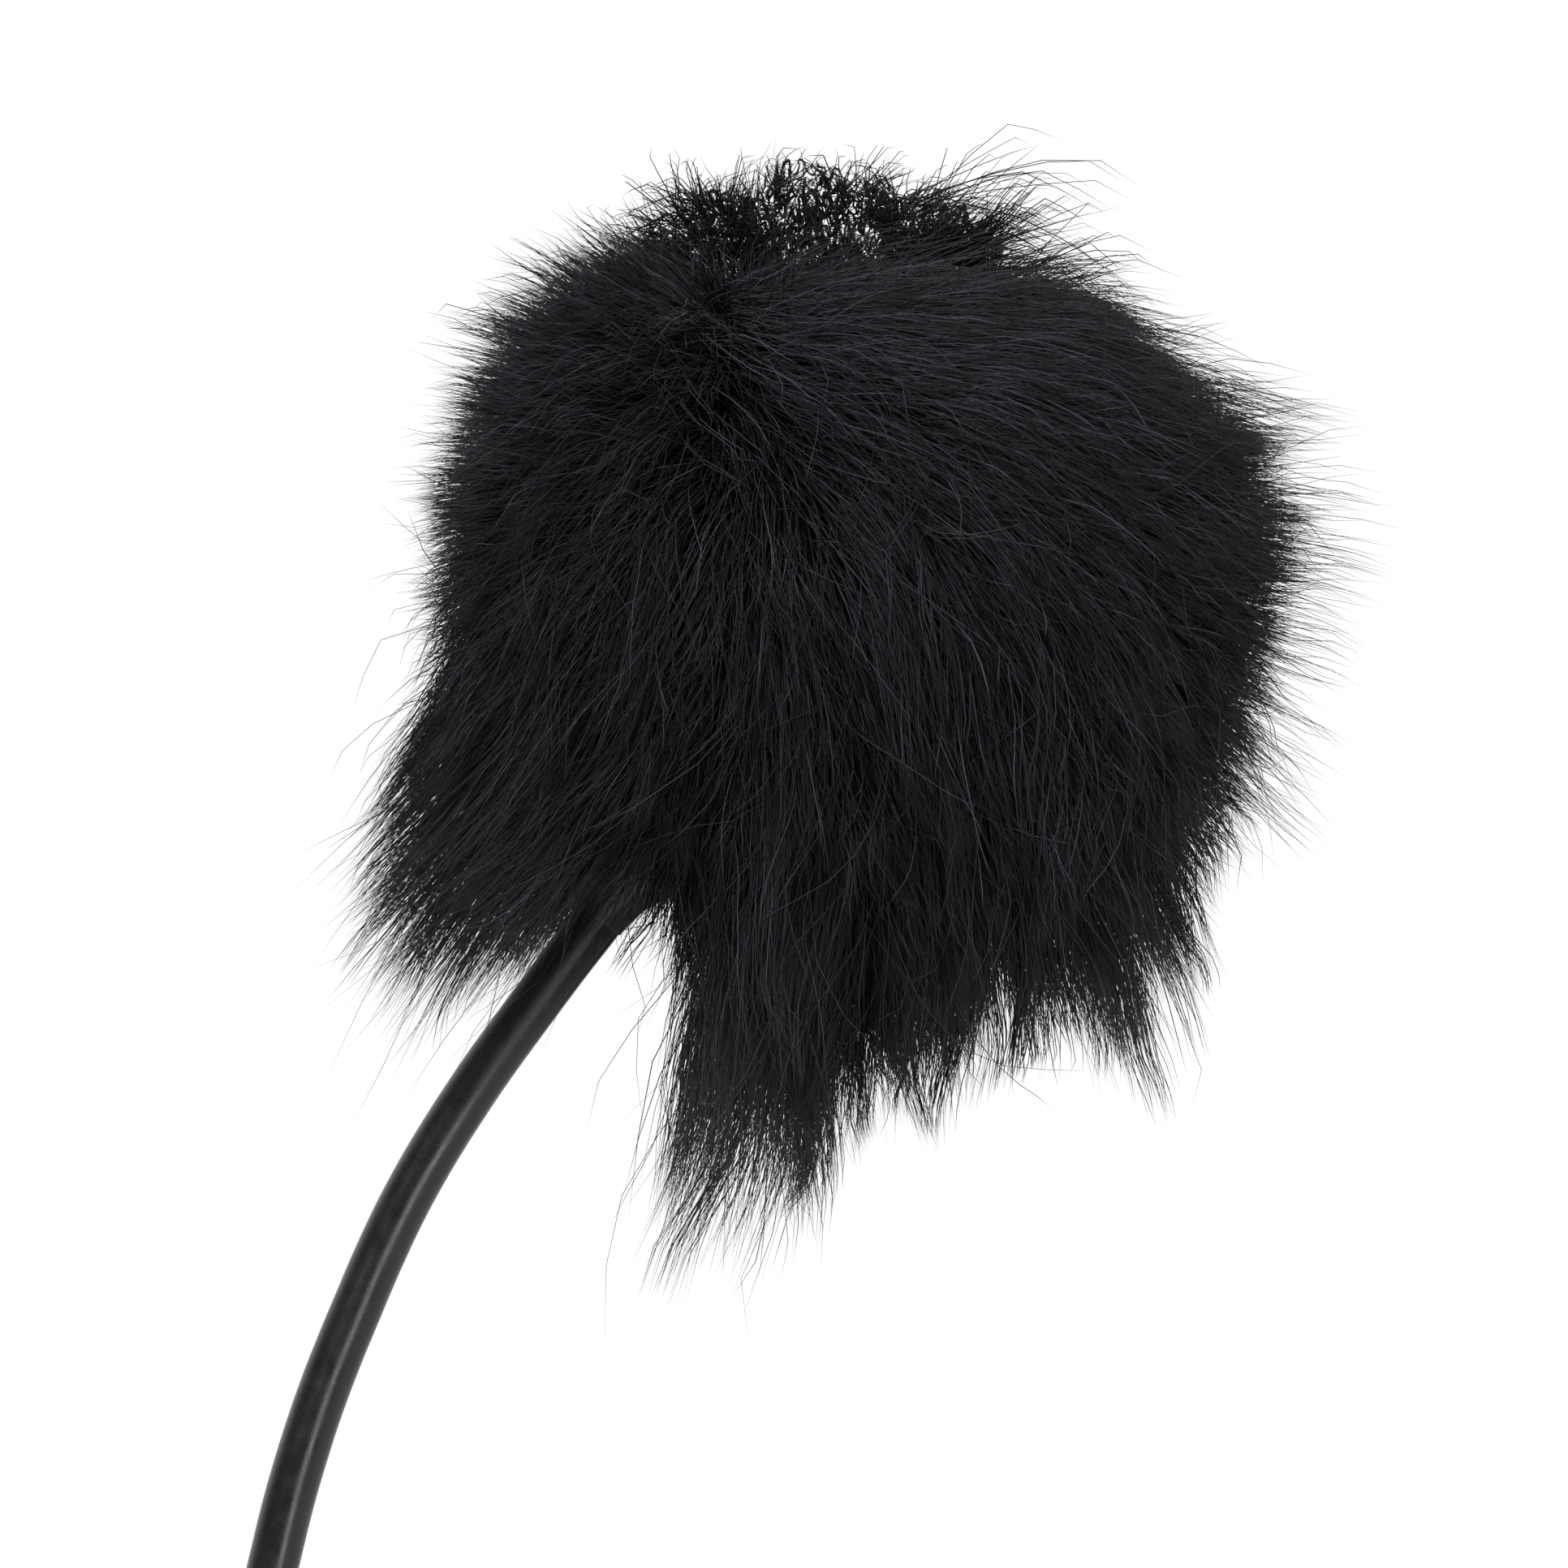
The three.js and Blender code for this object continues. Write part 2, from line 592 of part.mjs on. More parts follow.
const tailTop = coilEnd.clone().add(new THREE.Vector3(0, 0, -slip));
const tailEnd = tailTop.clone().add(new THREE.Vector3(0, 0, -tailLength));
const tailMiddle = tailTop.clone().lerp(tailEnd, 0.5);
const tailPoints = [tailTop, tailMiddle, tailEnd].map((p) => p.toArray());
piece(furryWindscreen, 'cable_tail', tubeAlong(tailPoints, cableRadius, cableSides, 2), 0x1a1a1c, 0.38);

// Tie: a strap round all the turns, near the top of the coil

const tieInner = Math.sqrt((coilInnerRadius - cableRadius) ** 2 - (tieWidth / 2) ** 2) - slip;
const tieOuter = coilOuterRadius + cableRadius + slip;
const tieHalf = (coilPitch * (coilLayers - 1)) / 2 + cableRadius + slip;

function rectangle(kind, left, right, half) {
  const path = new kind();
  path.moveTo(left, -half);
  path.lineTo(right, -half);
  path.lineTo(right, half);
  path.lineTo(left, half);
  path.closePath();
  return path;
}

const strap = rectangle(
  THREE.Shape, tieInner - tieThickness, tieOuter + tieThickness, tieHalf + tieThickness);
strap.holes.push(rectangle(THREE.Path, tieInner, tieOuter, tieHalf));
const tie = piece(furryWindscreen, 'coil_tie',
  new THREE.ExtrudeGeometry(strap, { depth: tieWidth, bevelEnabled: false }).translate(0, 0, -tieWidth / 2),
  0x17171a, 0.9);
tie.position.set(coilCentre.x, (runEnd.y + coilEnd.y) / 2, coilCentre.z);
tie.rotation.y = -tieAngle;

// Plug: boot, handle and the contacts of its pin, pointing down

const plug = new THREE.Group();
plug.position.copy(tailEnd).add(new THREE.Vector3(0, 0, -slip));
plug.rotation.x = Math.PI;
furryWindscreen.add(plug);

piece(plug, 'plug_boot', lathe([
  [0, 0], [plugBootTipRadius, 0], [plugBootBaseRadius, plugBootLength], [0, plugBootLength],
]), 0x151517, 0.6);

const handleStart = plugBootLength + fit;
const handleEnd = handleStart + handleLength;
const gripProfile = [];
for (let i = 0; i < gripGrooves; i += 1) {
  const low = handleStart + gripStart + 2 * i * gripLength;
  gripProfile.push([handleRadius, low], [handleRadius - gripDepth, low],
    [handleRadius - gripDepth, low + gripLength], [handleRadius, low + gripLength]);
}
const socketRadius = pinRadius + fit;
const socketFloor = handleEnd - socketDepth;
piece(plug, 'plug_handle', lathe([
  [0, handleStart], [handleRadius - handleChamfer, handleStart], [handleRadius, handleStart + handleChamfer],
  ...gripProfile, [handleRadius, handleEnd - handleChamfer], [handleRadius - handleChamfer, handleEnd],
  [socketRadius, handleEnd], [socketRadius, socketFloor], [0, socketFloor],
]), 0x1c1c1f, 0.35, 0.4);

const insulatorRadius = pinRadius - fit;
const sleeveEnd = handleEnd + sleeveLength;
const ringStart = sleeveEnd + insulatorLength + 2 * fit;
const ringEnd = ringStart + ringLength;
const tipStart = ringEnd + insulatorLength + 2 * fit;
const tipEnd = tipStart + tipLength;
piece(plug, 'sleeve_contact', disc(pinRadius, socketFloor + fit, sleeveEnd), 0xd9b45a, 0.2, 1);
piece(plug, 'sleeve_insulator', disc(insulatorRadius, sleeveEnd + fit, ringStart - fit), 0x101010, 0.5);
piece(plug, 'ring_contact', disc(pinRadius, ringStart, ringEnd), 0xd9b45a, 0.2, 1);
piece(plug, 'ring_insulator', disc(insulatorRadius, ringEnd + fit, tipStart - fit), 0x101010, 0.5);
piece(plug, 'tip_contact', lathe([
  [0, tipStart], [pinRadius, tipStart], [tipNeckRadius, tipStart + tipLength * tipNeckShare],
  [pinRadius, tipStart + tipLength * tipShoulderShare], [tipEndRadius, tipEnd], [0, tipEnd],
]), 0xd9b45a, 0.2, 1);

console.log(`cable_coil: ${pathLength(coilPoints).toFixed(1)} mm long, least gap to itself `
  + `${leastGap(coilPoints, 2 * cableRadius).toFixed(2)} mm`);
console.log(`cable_run: ${runCurve.getLength().toFixed(1)} mm long, cable_tail: ${tailLength} mm long`);

export default furryWindscreen;
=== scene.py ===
"""A small faux-fur windscreen on a clip-on microphone, with the microphone's hanging cable."""

import math

import bpy
import numpy as np
from mathutils.kdtree import KDTree
from numpy.linalg import norm
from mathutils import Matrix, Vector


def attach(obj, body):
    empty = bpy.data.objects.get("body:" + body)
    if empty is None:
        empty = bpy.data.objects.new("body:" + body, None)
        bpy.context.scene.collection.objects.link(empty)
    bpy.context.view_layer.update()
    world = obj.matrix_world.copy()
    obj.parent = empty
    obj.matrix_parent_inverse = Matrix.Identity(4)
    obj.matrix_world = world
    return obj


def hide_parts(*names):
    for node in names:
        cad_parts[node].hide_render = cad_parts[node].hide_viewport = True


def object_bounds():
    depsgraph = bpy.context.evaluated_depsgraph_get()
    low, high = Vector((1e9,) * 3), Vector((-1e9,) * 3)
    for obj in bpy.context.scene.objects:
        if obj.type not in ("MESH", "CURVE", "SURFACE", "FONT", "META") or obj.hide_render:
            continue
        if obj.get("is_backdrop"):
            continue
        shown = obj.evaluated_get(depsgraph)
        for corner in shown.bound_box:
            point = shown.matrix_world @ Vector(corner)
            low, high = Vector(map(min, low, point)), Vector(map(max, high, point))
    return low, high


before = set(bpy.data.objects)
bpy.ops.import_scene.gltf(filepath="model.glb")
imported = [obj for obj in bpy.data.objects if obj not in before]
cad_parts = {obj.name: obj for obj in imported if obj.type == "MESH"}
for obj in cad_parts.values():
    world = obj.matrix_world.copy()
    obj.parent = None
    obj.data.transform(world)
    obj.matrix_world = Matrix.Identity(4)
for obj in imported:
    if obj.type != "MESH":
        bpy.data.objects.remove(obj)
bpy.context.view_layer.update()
bpy.ops.object.select_all(action="DESELECT")
scene = bpy.context.scene

MM = 0.001  # sizes below are in millimetres, as in the part's source
Y = np.array([0.0, 1, 0])


def unit(v):
    return v / np.maximum(norm(v, axis=-1, keepdims=True), 1e-12)


def new_object(name, data):
    obj = bpy.data.objects.new(name, data)
    scene.collection.objects.link(obj)
    return obj


# Camera

view_width, view_distance = 64.9, 280
camera_data = bpy.data.cameras.new("camera")
camera_data.sensor_width = 36
camera_data.lens = 36 * view_distance / view_width
camera_data.clip_start, camera_data.clip_end = 0.01, 10
camera = new_object("camera", camera_data)
camera.location = (5.31 * MM, -view_distance * MM, 2.6 * MM)
camera.rotation_euler = (math.radians(90), 0, 0)
scene.camera = camera
scene.view_settings.view_transform = "Standard"

# Sizes that the pieces share with the solids

mic_lean = math.radians(38)
mic_axis = np.array([math.sin(mic_lean), 0, math.cos(mic_lean)])
ball_height = 12.8
ball_centre = mic_axis * ball_height
foam_radius, knit_radius, bore_radius, cable_radius = 12.0, 12.7, 3.3, 1.05
boot_length = 3.8

# Shader helpers and the groups that several finishes use

black, white = (0, 0, 0, 1), (1, 1, 1, 1)


def feed(tree, node, inputs):
    """Gives each input of a node a value, or links it to a socket."""
    for key, value in inputs.items():
        if isinstance(value, bpy.types.NodeSocket):
            tree.links.new(value, node.inputs[key])
        else:
            node.inputs[key].default_value = value


def add(tree, kind, inputs=None, **settings):
    node = tree.nodes.new("ShaderNode" + kind)
    for key, value in settings.items():
        setattr(node, key, value)
    feed(tree, node, inputs or {})
    return node


def group(name, inputs, outputs):
    """An empty shader node group with named inputs, given as numbers or colours, and outputs."""
    tree = bpy.data.node_groups.new(name, "ShaderNodeTree")
    for key, value in inputs.items():
        kind = "NodeSocketColor" if isinstance(value, tuple) else "NodeSocketFloat"
        tree.interface.new_socket(key, in_out="INPUT", socket_type=kind).default_value = value
    for key in outputs:
        kind = "NodeSocketColor" if key == "Color" else "NodeSocketFloat"
        tree.interface.new_socket(key, in_out="OUTPUT", socket_type=kind)
    return tree, tree.nodes.new("NodeGroupInput").outputs, tree.nodes.new("NodeGroupOutput")


def maths(tree, operation, a, b=0.0, clamp=False):
    return add(tree, "Math", {0: a, 1: b}, operation=operation, use_clamp=clamp).outputs[0]


def times(tree, a, b):
    return maths(tree, "MULTIPLY", a, b)


def mapped(tree, value, low, high, to_low=0.0, to_high=1.0, **settings):
    """A value stretched from one range to another."""
    return add(tree, "MapRange", {"Value": value, "From Min": low, "From Max": high, "To Min": to_low,
                                  "To Max": to_high}, **settings).outputs[0]


def blend(tree, factor, low, high, **settings):
    return add(tree, "Mix", {"Factor": factor, 6: low, 7: high}, data_type="RGBA", **settings).outputs[2]


def noise(tree, place, scale, **inputs):
    return add(tree, "TexNoise", {"Vector": place, "Scale": scale, **inputs}).outputs[0]


def make_grain_group():
    """Fine uneven gloss of a moulded or painted surface, with soft handling marks."""
    tree, given, out = group(
        "surface grain", {"Size": 0.3, "Gloss low": 0.3, "Gloss high": 0.5, "Dark": black, "Light": white},
        ("Color", "Roughness", "Height"))
    place = add(tree, "TexCoord").outputs["Object"]
    scale = maths(tree, "DIVIDE", 1 / MM, given["Size"])
    fine = noise(tree, place, scale, Detail=4.0, Roughness=0.6)
    marks = noise(tree, place, times(tree, scale, 0.12), Detail=3.0)
    mixed = maths(tree, "ADD", times(tree, fine, 0.45), times(tree, marks, 0.55))
    feed(tree, out, {
        "Color": blend(tree, mapped(tree, mixed, 0.35, 0.65), given["Dark"], given["Light"]),
        "Roughness": mapped(tree, mixed, 0.35, 0.65, given["Gloss low"], given["Gloss high"]), "Height": fine})
    return tree


def make_fibre_group():
    """Colour of a fibre from its root to its tip, a little different for each fibre; a few, chosen at random, turn
    much lighter towards the tip as painted highlights.
    """
    tree, given, out = group(
        "fibre shade", {"Root": black, "Tip": white, "Gloss low": 0.3, "Gloss high": 0.5}, ("Color", "Roughness"))
    strand = add(tree, "SeparateXYZ", {0: add(tree, "UVMap", uv_map="strand").outputs[0]}).outputs
    # Painted highlight: the highest strand values make a fibre several times lighter towards its tip, standing in for
    # glints on lit hairs.
    painted_glint = maths(tree, "ADD", 0.03, times(tree, 5.0, maths(tree, "POWER", strand["X"], 9.5)))
    glint_to_tip = times(tree, maths(tree, "POWER", strand["Y"], 0.8), painted_glint)
    feed(tree, out, {
        "Color": blend(tree, glint_to_tip, given["Root"], given["Tip"], clamp_factor=False),
        "Roughness": mapped(tree, strand["X"], 0.0, 1.0, given["Gloss low"], given["Gloss high"])})
    return tree


def make_weave_group():
    """Crossing yarns, over and under, at a yarn's width, coloured darker where they dip, as painted shade between
    them.
    """
    tree, given, out = group("woven yarns", {"Yarn": 0.3, "Low": black, "High": white}, ("Color", "Height"))
    place = add(tree, "TexCoord").outputs["Object"]
    parts = add(tree, "SeparateXYZ", {0: place}).outputs
    turn = maths(tree, "DIVIDE", math.pi / MM, given["Yarn"])
    across = maths(tree, "SINE", times(tree, maths(tree, "ADD", parts["X"], parts["Y"]), turn))
    up = maths(tree, "SINE", times(tree, parts["Z"], turn))
    fuzz = noise(tree, place, times(tree, turn, 1.5), Detail=3.0)
    raised = maths(tree, "ADD", times(tree, times(tree, across, up), 0.35), fuzz, clamp=True)
    # Colour follows the height: random fuzz tone, and painted shade that darkens the yarns where they dip under.
    feed(tree, out, {"Color": blend(tree, raised, given["Low"], given["High"]), "Height": raised})
    return tree


grain_group, fibre_group, weave_group = make_grain_group(), make_fibre_group(), make_weave_group()


def shader(name, **sockets):
    """A material with its Principled shader and the shader's own plain values."""
    material = bpy.data.materials.new(name)
    material.use_nodes = True
    principled = material.node_tree.nodes["Principled BSDF"]
    for key, value in sockets.items():
        principled.inputs[key.replace("_", " ")].default_value = value
    return material, material.node_tree, principled


def grey(level, blue=1.0):
    return (level, level, level * blue, 1)


def rise(tree, principled, height, strength, depth):
    """Raises the surface by a height pattern, to a depth in millimetres."""
    bump = add(tree, "Bump", {"Height": height, "Strength": strength, "Distance": depth * MM})
    feed(tree, principled, {"Normal": bump.outputs[0]})


def patterned(name, pattern, inputs, strength=0.0, depth=0.0, **sockets):
    """A material with the colour, the gloss and the height that a shared group gives."""
    material, tree, principled = shader(name, **sockets)
    given = add(tree, "Group", inputs, node_tree=pattern).outputs
    feed(tree, principled, {"Base Color": given["Color"]})
    if "Roughness" in given:
        feed(tree, principled, {"Roughness": given["Roughness"]})
    if depth:
        rise(tree, principled, given["Height"], strength, depth)
    return material


def grained(name, dark, light, gloss, size, depth, metallic=0.0):
    return patterned(name, grain_group, {"Size": size, "Gloss low": gloss[0], "Gloss high": gloss[1], "Dark": dark,
                                         "Light": light}, 0.3, depth, Metallic=metallic)


def fibrous(name, root, tip, gloss, specular):
    return patterned(name, fibre_group, {"Root": root, "Tip": tip, "Gloss low": gloss[0], "Gloss high": gloss[1]},
                     Specular_IOR_Level=specular)


def woven(name, low, high, yarn, depth, roughness, **sockets):
    return patterned(name, weave_group, {"Yarn": yarn, "Low": low, "High": high}, 0.6, depth, Roughness=roughness,
                     **sockets)


def make_foam():
    material, tree, principled = shader("open foam", Roughness=0.92)
    place = add(tree, "TexCoord").outputs["Object"]
    cells = add(tree, "TexVoronoi", {"Vector": place, "Scale": 1.6 / MM}, feature="DISTANCE_TO_EDGE")
    pore_depth_and_shade = mapped(tree, cells.outputs["Distance"], 0.0, 0.12)
    # Painted shade: the open pores are coloured darker than the cell walls around them, as shade inside the hollows.
    feed(tree, principled, {"Base Color": blend(tree, pore_depth_and_shade, grey(0.035), grey(0.009))})
    rise(tree, principled, maths(tree, "SUBTRACT", 1.0, pore_depth_and_shade), 0.8, 0.15)
    return material


pile_fibre = fibrous("pile fibre", (0.0105, 0.0107, 0.0135, 1), (0.027, 0.0274, 0.033, 1), (0.25, 0.4), 0.22)
knit_yarn = fibrous("knit yarn", (0.0105, 0.0107, 0.013, 1), (0.026, 0.0264, 0.032, 1), (0.5, 0.7), 0.25)
knit_backing = woven("knit backing", grey(0.004, 1.1), grey(0.013, 1.1), 0.42, 0.12, 0.85)
hem_cloth = woven("hem cloth", grey(0.005, 1.1), grey(0.016, 1.1), 0.25, 0.06, 0.82)
elastic_cord = woven("covered elastic", grey(0.008), grey(0.022), 0.22, 0.05, 0.7)
strap_cloth = woven("strap cloth", grey(0.007), grey(0.024), 0.3, 0.07, 0.8)
black_metal = grained("black anodised metal", grey(0.012), grey(0.022), (0.3, 0.42), 0.2, 0.004, 0.6)
nickel = grained("nickel plate", (0.5, 0.49, 0.46, 1), (0.62, 0.6, 0.57, 1), (0.22, 0.34), 0.3, 0.002, 1.0)
brass_plate = grained("brass", (0.6, 0.43, 0.16, 1), (0.72, 0.53, 0.24, 1), (0.25, 0.4), 0.3, 0.002, 1.0)
gold_plate = grained("gold plate", (0.86, 0.58, 0.22, 1), (0.94, 0.68, 0.3, 1), (0.14, 0.24), 0.5, 0.0015, 1.0)
white_plastic = grained("natural plastic", (0.66, 0.63, 0.56, 1), (0.74, 0.71, 0.64, 1), (0.45, 0.6), 0.3, 0.004)
boot_rubber = grained("boot rubber", grey(0.0068, 1.08), grey(0.0105, 1.08), (0.3, 0.42), 0.2, 0.005)
cable_jacket = grained("cable jacket", grey(0.0068, 1.08), grey(0.0115, 1.08), (0.22, 0.36), 0.1, 0.01)
handle_black = grained("handle finish", grey(0.01), grey(0.018), (0.28, 0.4), 0.2, 0.004, 0.3)
insulator_black = grained("insulator", grey(0.008), grey(0.014), (0.35, 0.5), 0.2, 0.002)

# Capsule, seals and wires, which are the solids themselves

for node, slot, material in [
    ("grille_mesh", "steel_mesh", woven("woven steel mesh", grey(0.12), grey(0.5), 0.12, 0.03, 0.35, Metallic=1.0)),
    ("felt_disc", "felt", grained("felt", grey(0.015), grey(0.05), (0.9, 1.0), 0.12, 0.05)),
    ("diaphragm", "film", grained("metallised film", grey(0.55), grey(0.68), (0.12, 0.2), 0.4, 0.001, 0.9)),
    ("amplifier_board", "board_green",
     grained("circuit board", (0.012, 0.06, 0.02, 1), (0.02, 0.1, 0.035, 1), (0.3, 0.45), 0.15, 0.004)),
    ("amplifier_chip", "chip_black", grained("moulded chip", grey(0.01), grey(0.02), (0.5, 0.65), 0.08, 0.004)),
    ("capsule_gasket", "gasket_rubber", grained("soft rubber", grey(0.01), grey(0.02), (0.6, 0.8), 0.2, 0.008)),
    ("signal_wire", "wire_red",
     grained("red insulation", (0.35, 0.02, 0.02, 1), (0.5, 0.04, 0.03, 1), (0.35, 0.5), 0.2, 0.002)),
    ("ground_wire", "wire_bare",
     grained("tinned copper", (0.5, 0.5, 0.48, 1), (0.7, 0.7, 0.68, 1), (0.25, 0.4), 0.08, 0.004, 1.0)),
    ("capsule_can", "nickel", nickel), ("crimp_ring", "nickel", nickel),
    ("diaphragm_ring", "brass_plate", brass_plate), ("backplate", "brass_plate", brass_plate),
    ("diaphragm_spacer", "white_plastic", white_plastic), ("backplate_holder", "white_plastic", white_plastic),
]:
    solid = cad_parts[node]
    solid.data.materials.clear()
    solid.data.materials.append(material)


def dress(obj, material, body, slot, *nodes):
    """Gives a finished piece its material, its body and the solids that it stands for; its slot is not used."""
    obj.data.materials.clear()
    obj.data.materials.append(material)
    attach(obj, body)
    if nodes:
        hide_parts(*nodes)
    return obj


def mesh_object(name, points, faces):
    """An object from points in millimetres and faces, shaded smooth."""
    mesh = bpy.data.meshes.new(name)
    mesh.from_pydata((np.asarray(points) * MM).tolist(), [], [list(map(int, f)) for f in faces])
    mesh.update()
    mesh.polygons.foreach_set("use_smooth", np.ones(len(mesh.polygons), bool))
    return new_object(name, mesh)


# Cable: the photographed curve down from the boot, the tied coil and the tail to the plug

cable_route = [
    (-5.13, 0, -6.65), (-6.8, 0, -8.93), (-8.16, -0.1, -10.95), (-9.4, -0.4, -12.96), (-10.48, -0.8, -14.95),
    (-11.41, -1.2, -16.94), (-12.24, -1.7, -18.92), (-13.04, -2.15, -20.88), (-13.76, -2.65, -22.83),
    (-14.38, -3.1, -24.78), (-14.93, -3.5, -26.73), (-15.4, -3.75, -28.69), (-15.7, -3.87, -30.1),
    (-15.75, -3.9, -31.4), (-15.75, -3.9, -33.5)]
coil_pitch, coil_layers, layer_turns, coil_inner = 2.6, 4, 3.75, 7.2
lead_radius, lead_turn = 8, math.radians(65)
coil_outer = coil_inner + coil_pitch * layer_turns
bend_start = np.array([-15.75, -3.9, -35.9])
first_angle = math.pi - lead_turn


def bend_point(turn):
    return bend_start + lead_radius * np.array([math.cos(turn) - 1, 0, -math.sin(turn)])


coil_centre = bend_point(lead_turn) - coil_outer * np.array([math.cos(first_angle), 0, math.sin(first_angle)])


def coil_point(turns):
    layer = min(int(turns / layer_turns), coil_layers - 1)
    along = turns - layer * layer_turns
    radius = coil_outer - coil_pitch * along if layer % 2 == 0 else coil_inner + coil_pitch * along
    crossing = int(turns / layer_turns + 0.5)
    depth = coil_pitch * layer
    if 0 < crossing < coil_layers:
        share = min(max((turns - crossing * layer_turns + 0.25) / 0.5, 0), 1)
        depth = coil_pitch * (crossing - 1 + share * share * (3 - 2 * share))
    angle = first_angle + turns * 2 * math.pi
    return np.array([coil_centre[0] + radius * math.cos(angle), bend_start[1] + depth,
                     coil_centre[2] + radius * math.sin(angle)])


def smooth_line(points, step):
    """A centripetal curve through the points, as in the part's source, sampled at a step."""
    p = np.array([2 * np.array(points[0]) - points[1], *points, 2 * np.array(points[-1]) - points[-2]], float)
    line = []
    for i in range(1, len(p) - 2):
        a, b, c, d = p[i - 1:i + 3]
        t = np.cumsum([0, *(norm(v) ** 0.5 for v in (b - a, c - b, d - c))])
        for s in np.linspace(t[1], t[2], max(2, round(norm(c - b) / step)), endpoint=False):
            ab = (a * (t[1] - s) + b * (s - t[0])) / (t[1] - t[0])
            bc = (b * (t[2] - s) + c * (s - t[1])) / (t[2] - t[1])
            cd = (c * (t[3] - s) + d * (s - t[2])) / (t[3] - t[2])
            abc = (ab * (t[2] - s) + bc * (s - t[0])) / (t[2] - t[0])
            bcd = (bc * (t[3] - s) + cd * (s - t[1])) / (t[3] - t[1])
            line.append((abc * (t[2] - s) + bcd * (s - t[1])) / (t[2] - t[1]))
    return [*line, p[-2]]


def tube(name, line, radius, sides):
    """A closed round tube along a line, with its ends cut square."""
    line = np.asarray(line, float)
    tangent = unit(np.gradient(line, axis=0))
    side = np.empty_like(line)
    side[0] = unit(np.cross(tangent[0], Y) + 1e-6)
    for i in range(1, len(line)):
        side[i] = unit(side[i - 1] - tangent[i] * (side[i - 1] @ tangent[i]))
    other = np.cross(tangent, side)
    angle = np.arange(sides) / sides * 2 * math.pi
    ring = side[:, None] * np.cos(angle)[:, None] + other[:, None] * np.sin(angle)[:, None]
    i, j = np.meshgrid(np.arange(len(line) - 1), np.arange(sides), indexing="ij")
    a, b = i * sides + j, i * sides + (j + 1) % sides
    faces = np.stack([a, b, b + sides, a + sides], -1).reshape(-1, 4).tolist()
    last = (len(line) - 1) * sides
    faces += [list(range(sides))[::-1], list(range(last, last + sides))]
    return mesh_object(name, (line[:, None] + radius * ring).reshape(-1, 3), faces)


spiral_turns = coil_layers * layer_turns + lead_turn / (2 * math.pi)
steps_per_turn = 44
cable_start = -mic_axis * (boot_length - 0.9)
leaving = [-mic_axis * (boot_length + beyond) for beyond in (0.3, 2.4)]
cable_line = smooth_line([cable_start, *leaving, *cable_route], 0.55)
cable_line += [bend_start + (0, 0, 1.2), bend_start]
cable_line += [bend_point(lead_turn * k / 12) for k in range(1, 12)]
cable_line += [coil_point(t) for t in np.linspace(0, spiral_turns, round(spiral_turns * steps_per_turn) + 1)]
tail_place = cable_line[-1]
cable_line += [tail_place + (0, 0, -drop) for drop in (0.7, 1.4, 2.4, 4.4, 6.4, 8.4, 10.4, 14.9)]
plug_top = -69.212
plug_place = np.array([tail_place[0], tail_place[1], plug_top])
cable = dress(tube("microphone_cable", cable_line, cable_radius, 20), cable_jacket, "microphone", "cable_jacket",
              "cable_run", "cable_coil", "cable_tail")
cable_length = float(norm(np.diff(cable_line, axis=0), axis=1).sum())

# Pieces drawn with Blender's own tools


def select_all():
    bpy.ops.mesh.select_all(action="SELECT")


def begin(name):
    """Names the shape just added and opens it for editing, all selected."""
    piece = bpy.context.object
    piece.name = piece.data.name = name
    bpy.ops.object.mode_set(mode="EDIT")
    select_all()
    return piece


def modify(piece, kind, **settings):
    modifier = piece.modifiers.new(kind, kind)
    for key, value in settings.items():
        setattr(modifier, key, value)
    bpy.ops.object.modifier_apply(modifier=modifier.name)


def soften(piece, width, segments, angle):
    modify(piece, "BEVEL", width=width * MM, segments=segments, limit_method="ANGLE", angle_limit=math.radians(angle))


def shade(sharp):
    bpy.ops.object.shade_smooth_by_angle(angle=math.radians(sharp))


def choose(piece):
    bpy.ops.object.select_all(action="DESELECT")
    piece.select_set(True)
    bpy.context.view_layer.objects.active = piece


def settle(piece, place=(0, 0, 0), lean=0.0, turn=0.0):
    """Leans the piece, puts it in its place and leaves that in its mesh."""
    piece.rotation_euler = (turn, lean, 0)
    piece.location = np.array(place) * MM
    choose(piece)
    bpy.ops.object.transform_apply(location=True, rotation=True, scale=True)
    bpy.ops.object.select_all(action="DESELECT")


def reshape(piece, change):
    """Moves a piece's corners by a function of their places in millimetres."""
    co = np.empty(len(piece.data.vertices) * 3)
    piece.data.vertices.foreach_get("co", co)
    piece.data.vertices.foreach_set("co", (change(co.reshape(-1, 3) / MM) * MM).ravel())


def turned(name, outline, sides=64, bevel=0.0, place=(0, 0, 0), lean=0.0, turn=0.0, sharp=40):
    """An outline of radius and height spun round Z, its edges bevelled, then leaned and put in its place."""
    bpy.ops.mesh.primitive_plane_add(size=MM, location=(0, 0, 0))
    piece = begin(name)
    bpy.ops.mesh.merge(type="CENTER")
    here = outline[0]
    bpy.ops.transform.translate(value=(here[0] * MM, 0, here[1] * MM))
    for r, z in outline[1:]:
        bpy.ops.mesh.extrude_vertices_move(
            TRANSFORM_OT_translate={"value": ((r - here[0]) * MM, 0, (z - here[1]) * MM)})
        here = (r, z)
    select_all()
    bpy.ops.mesh.spin(steps=sides, angle=2 * math.pi, center=(0, 0, 0), axis=(0, 0, 1))
    select_all()
    bpy.ops.mesh.remove_doubles(threshold=0.002 * MM)
    bpy.ops.mesh.normals_make_consistent(inside=False)
    bpy.ops.object.mode_set(mode="OBJECT")
    if bevel:
        soften(piece, bevel, 3, 30)
    shade(sharp)
    settle(piece, place, lean, turn)
    return piece


def solid_disc(radius, low, high):
    return [(0, low), (radius, low), (radius, high), (0, high)]


# Plug at the cable's end, pointing down

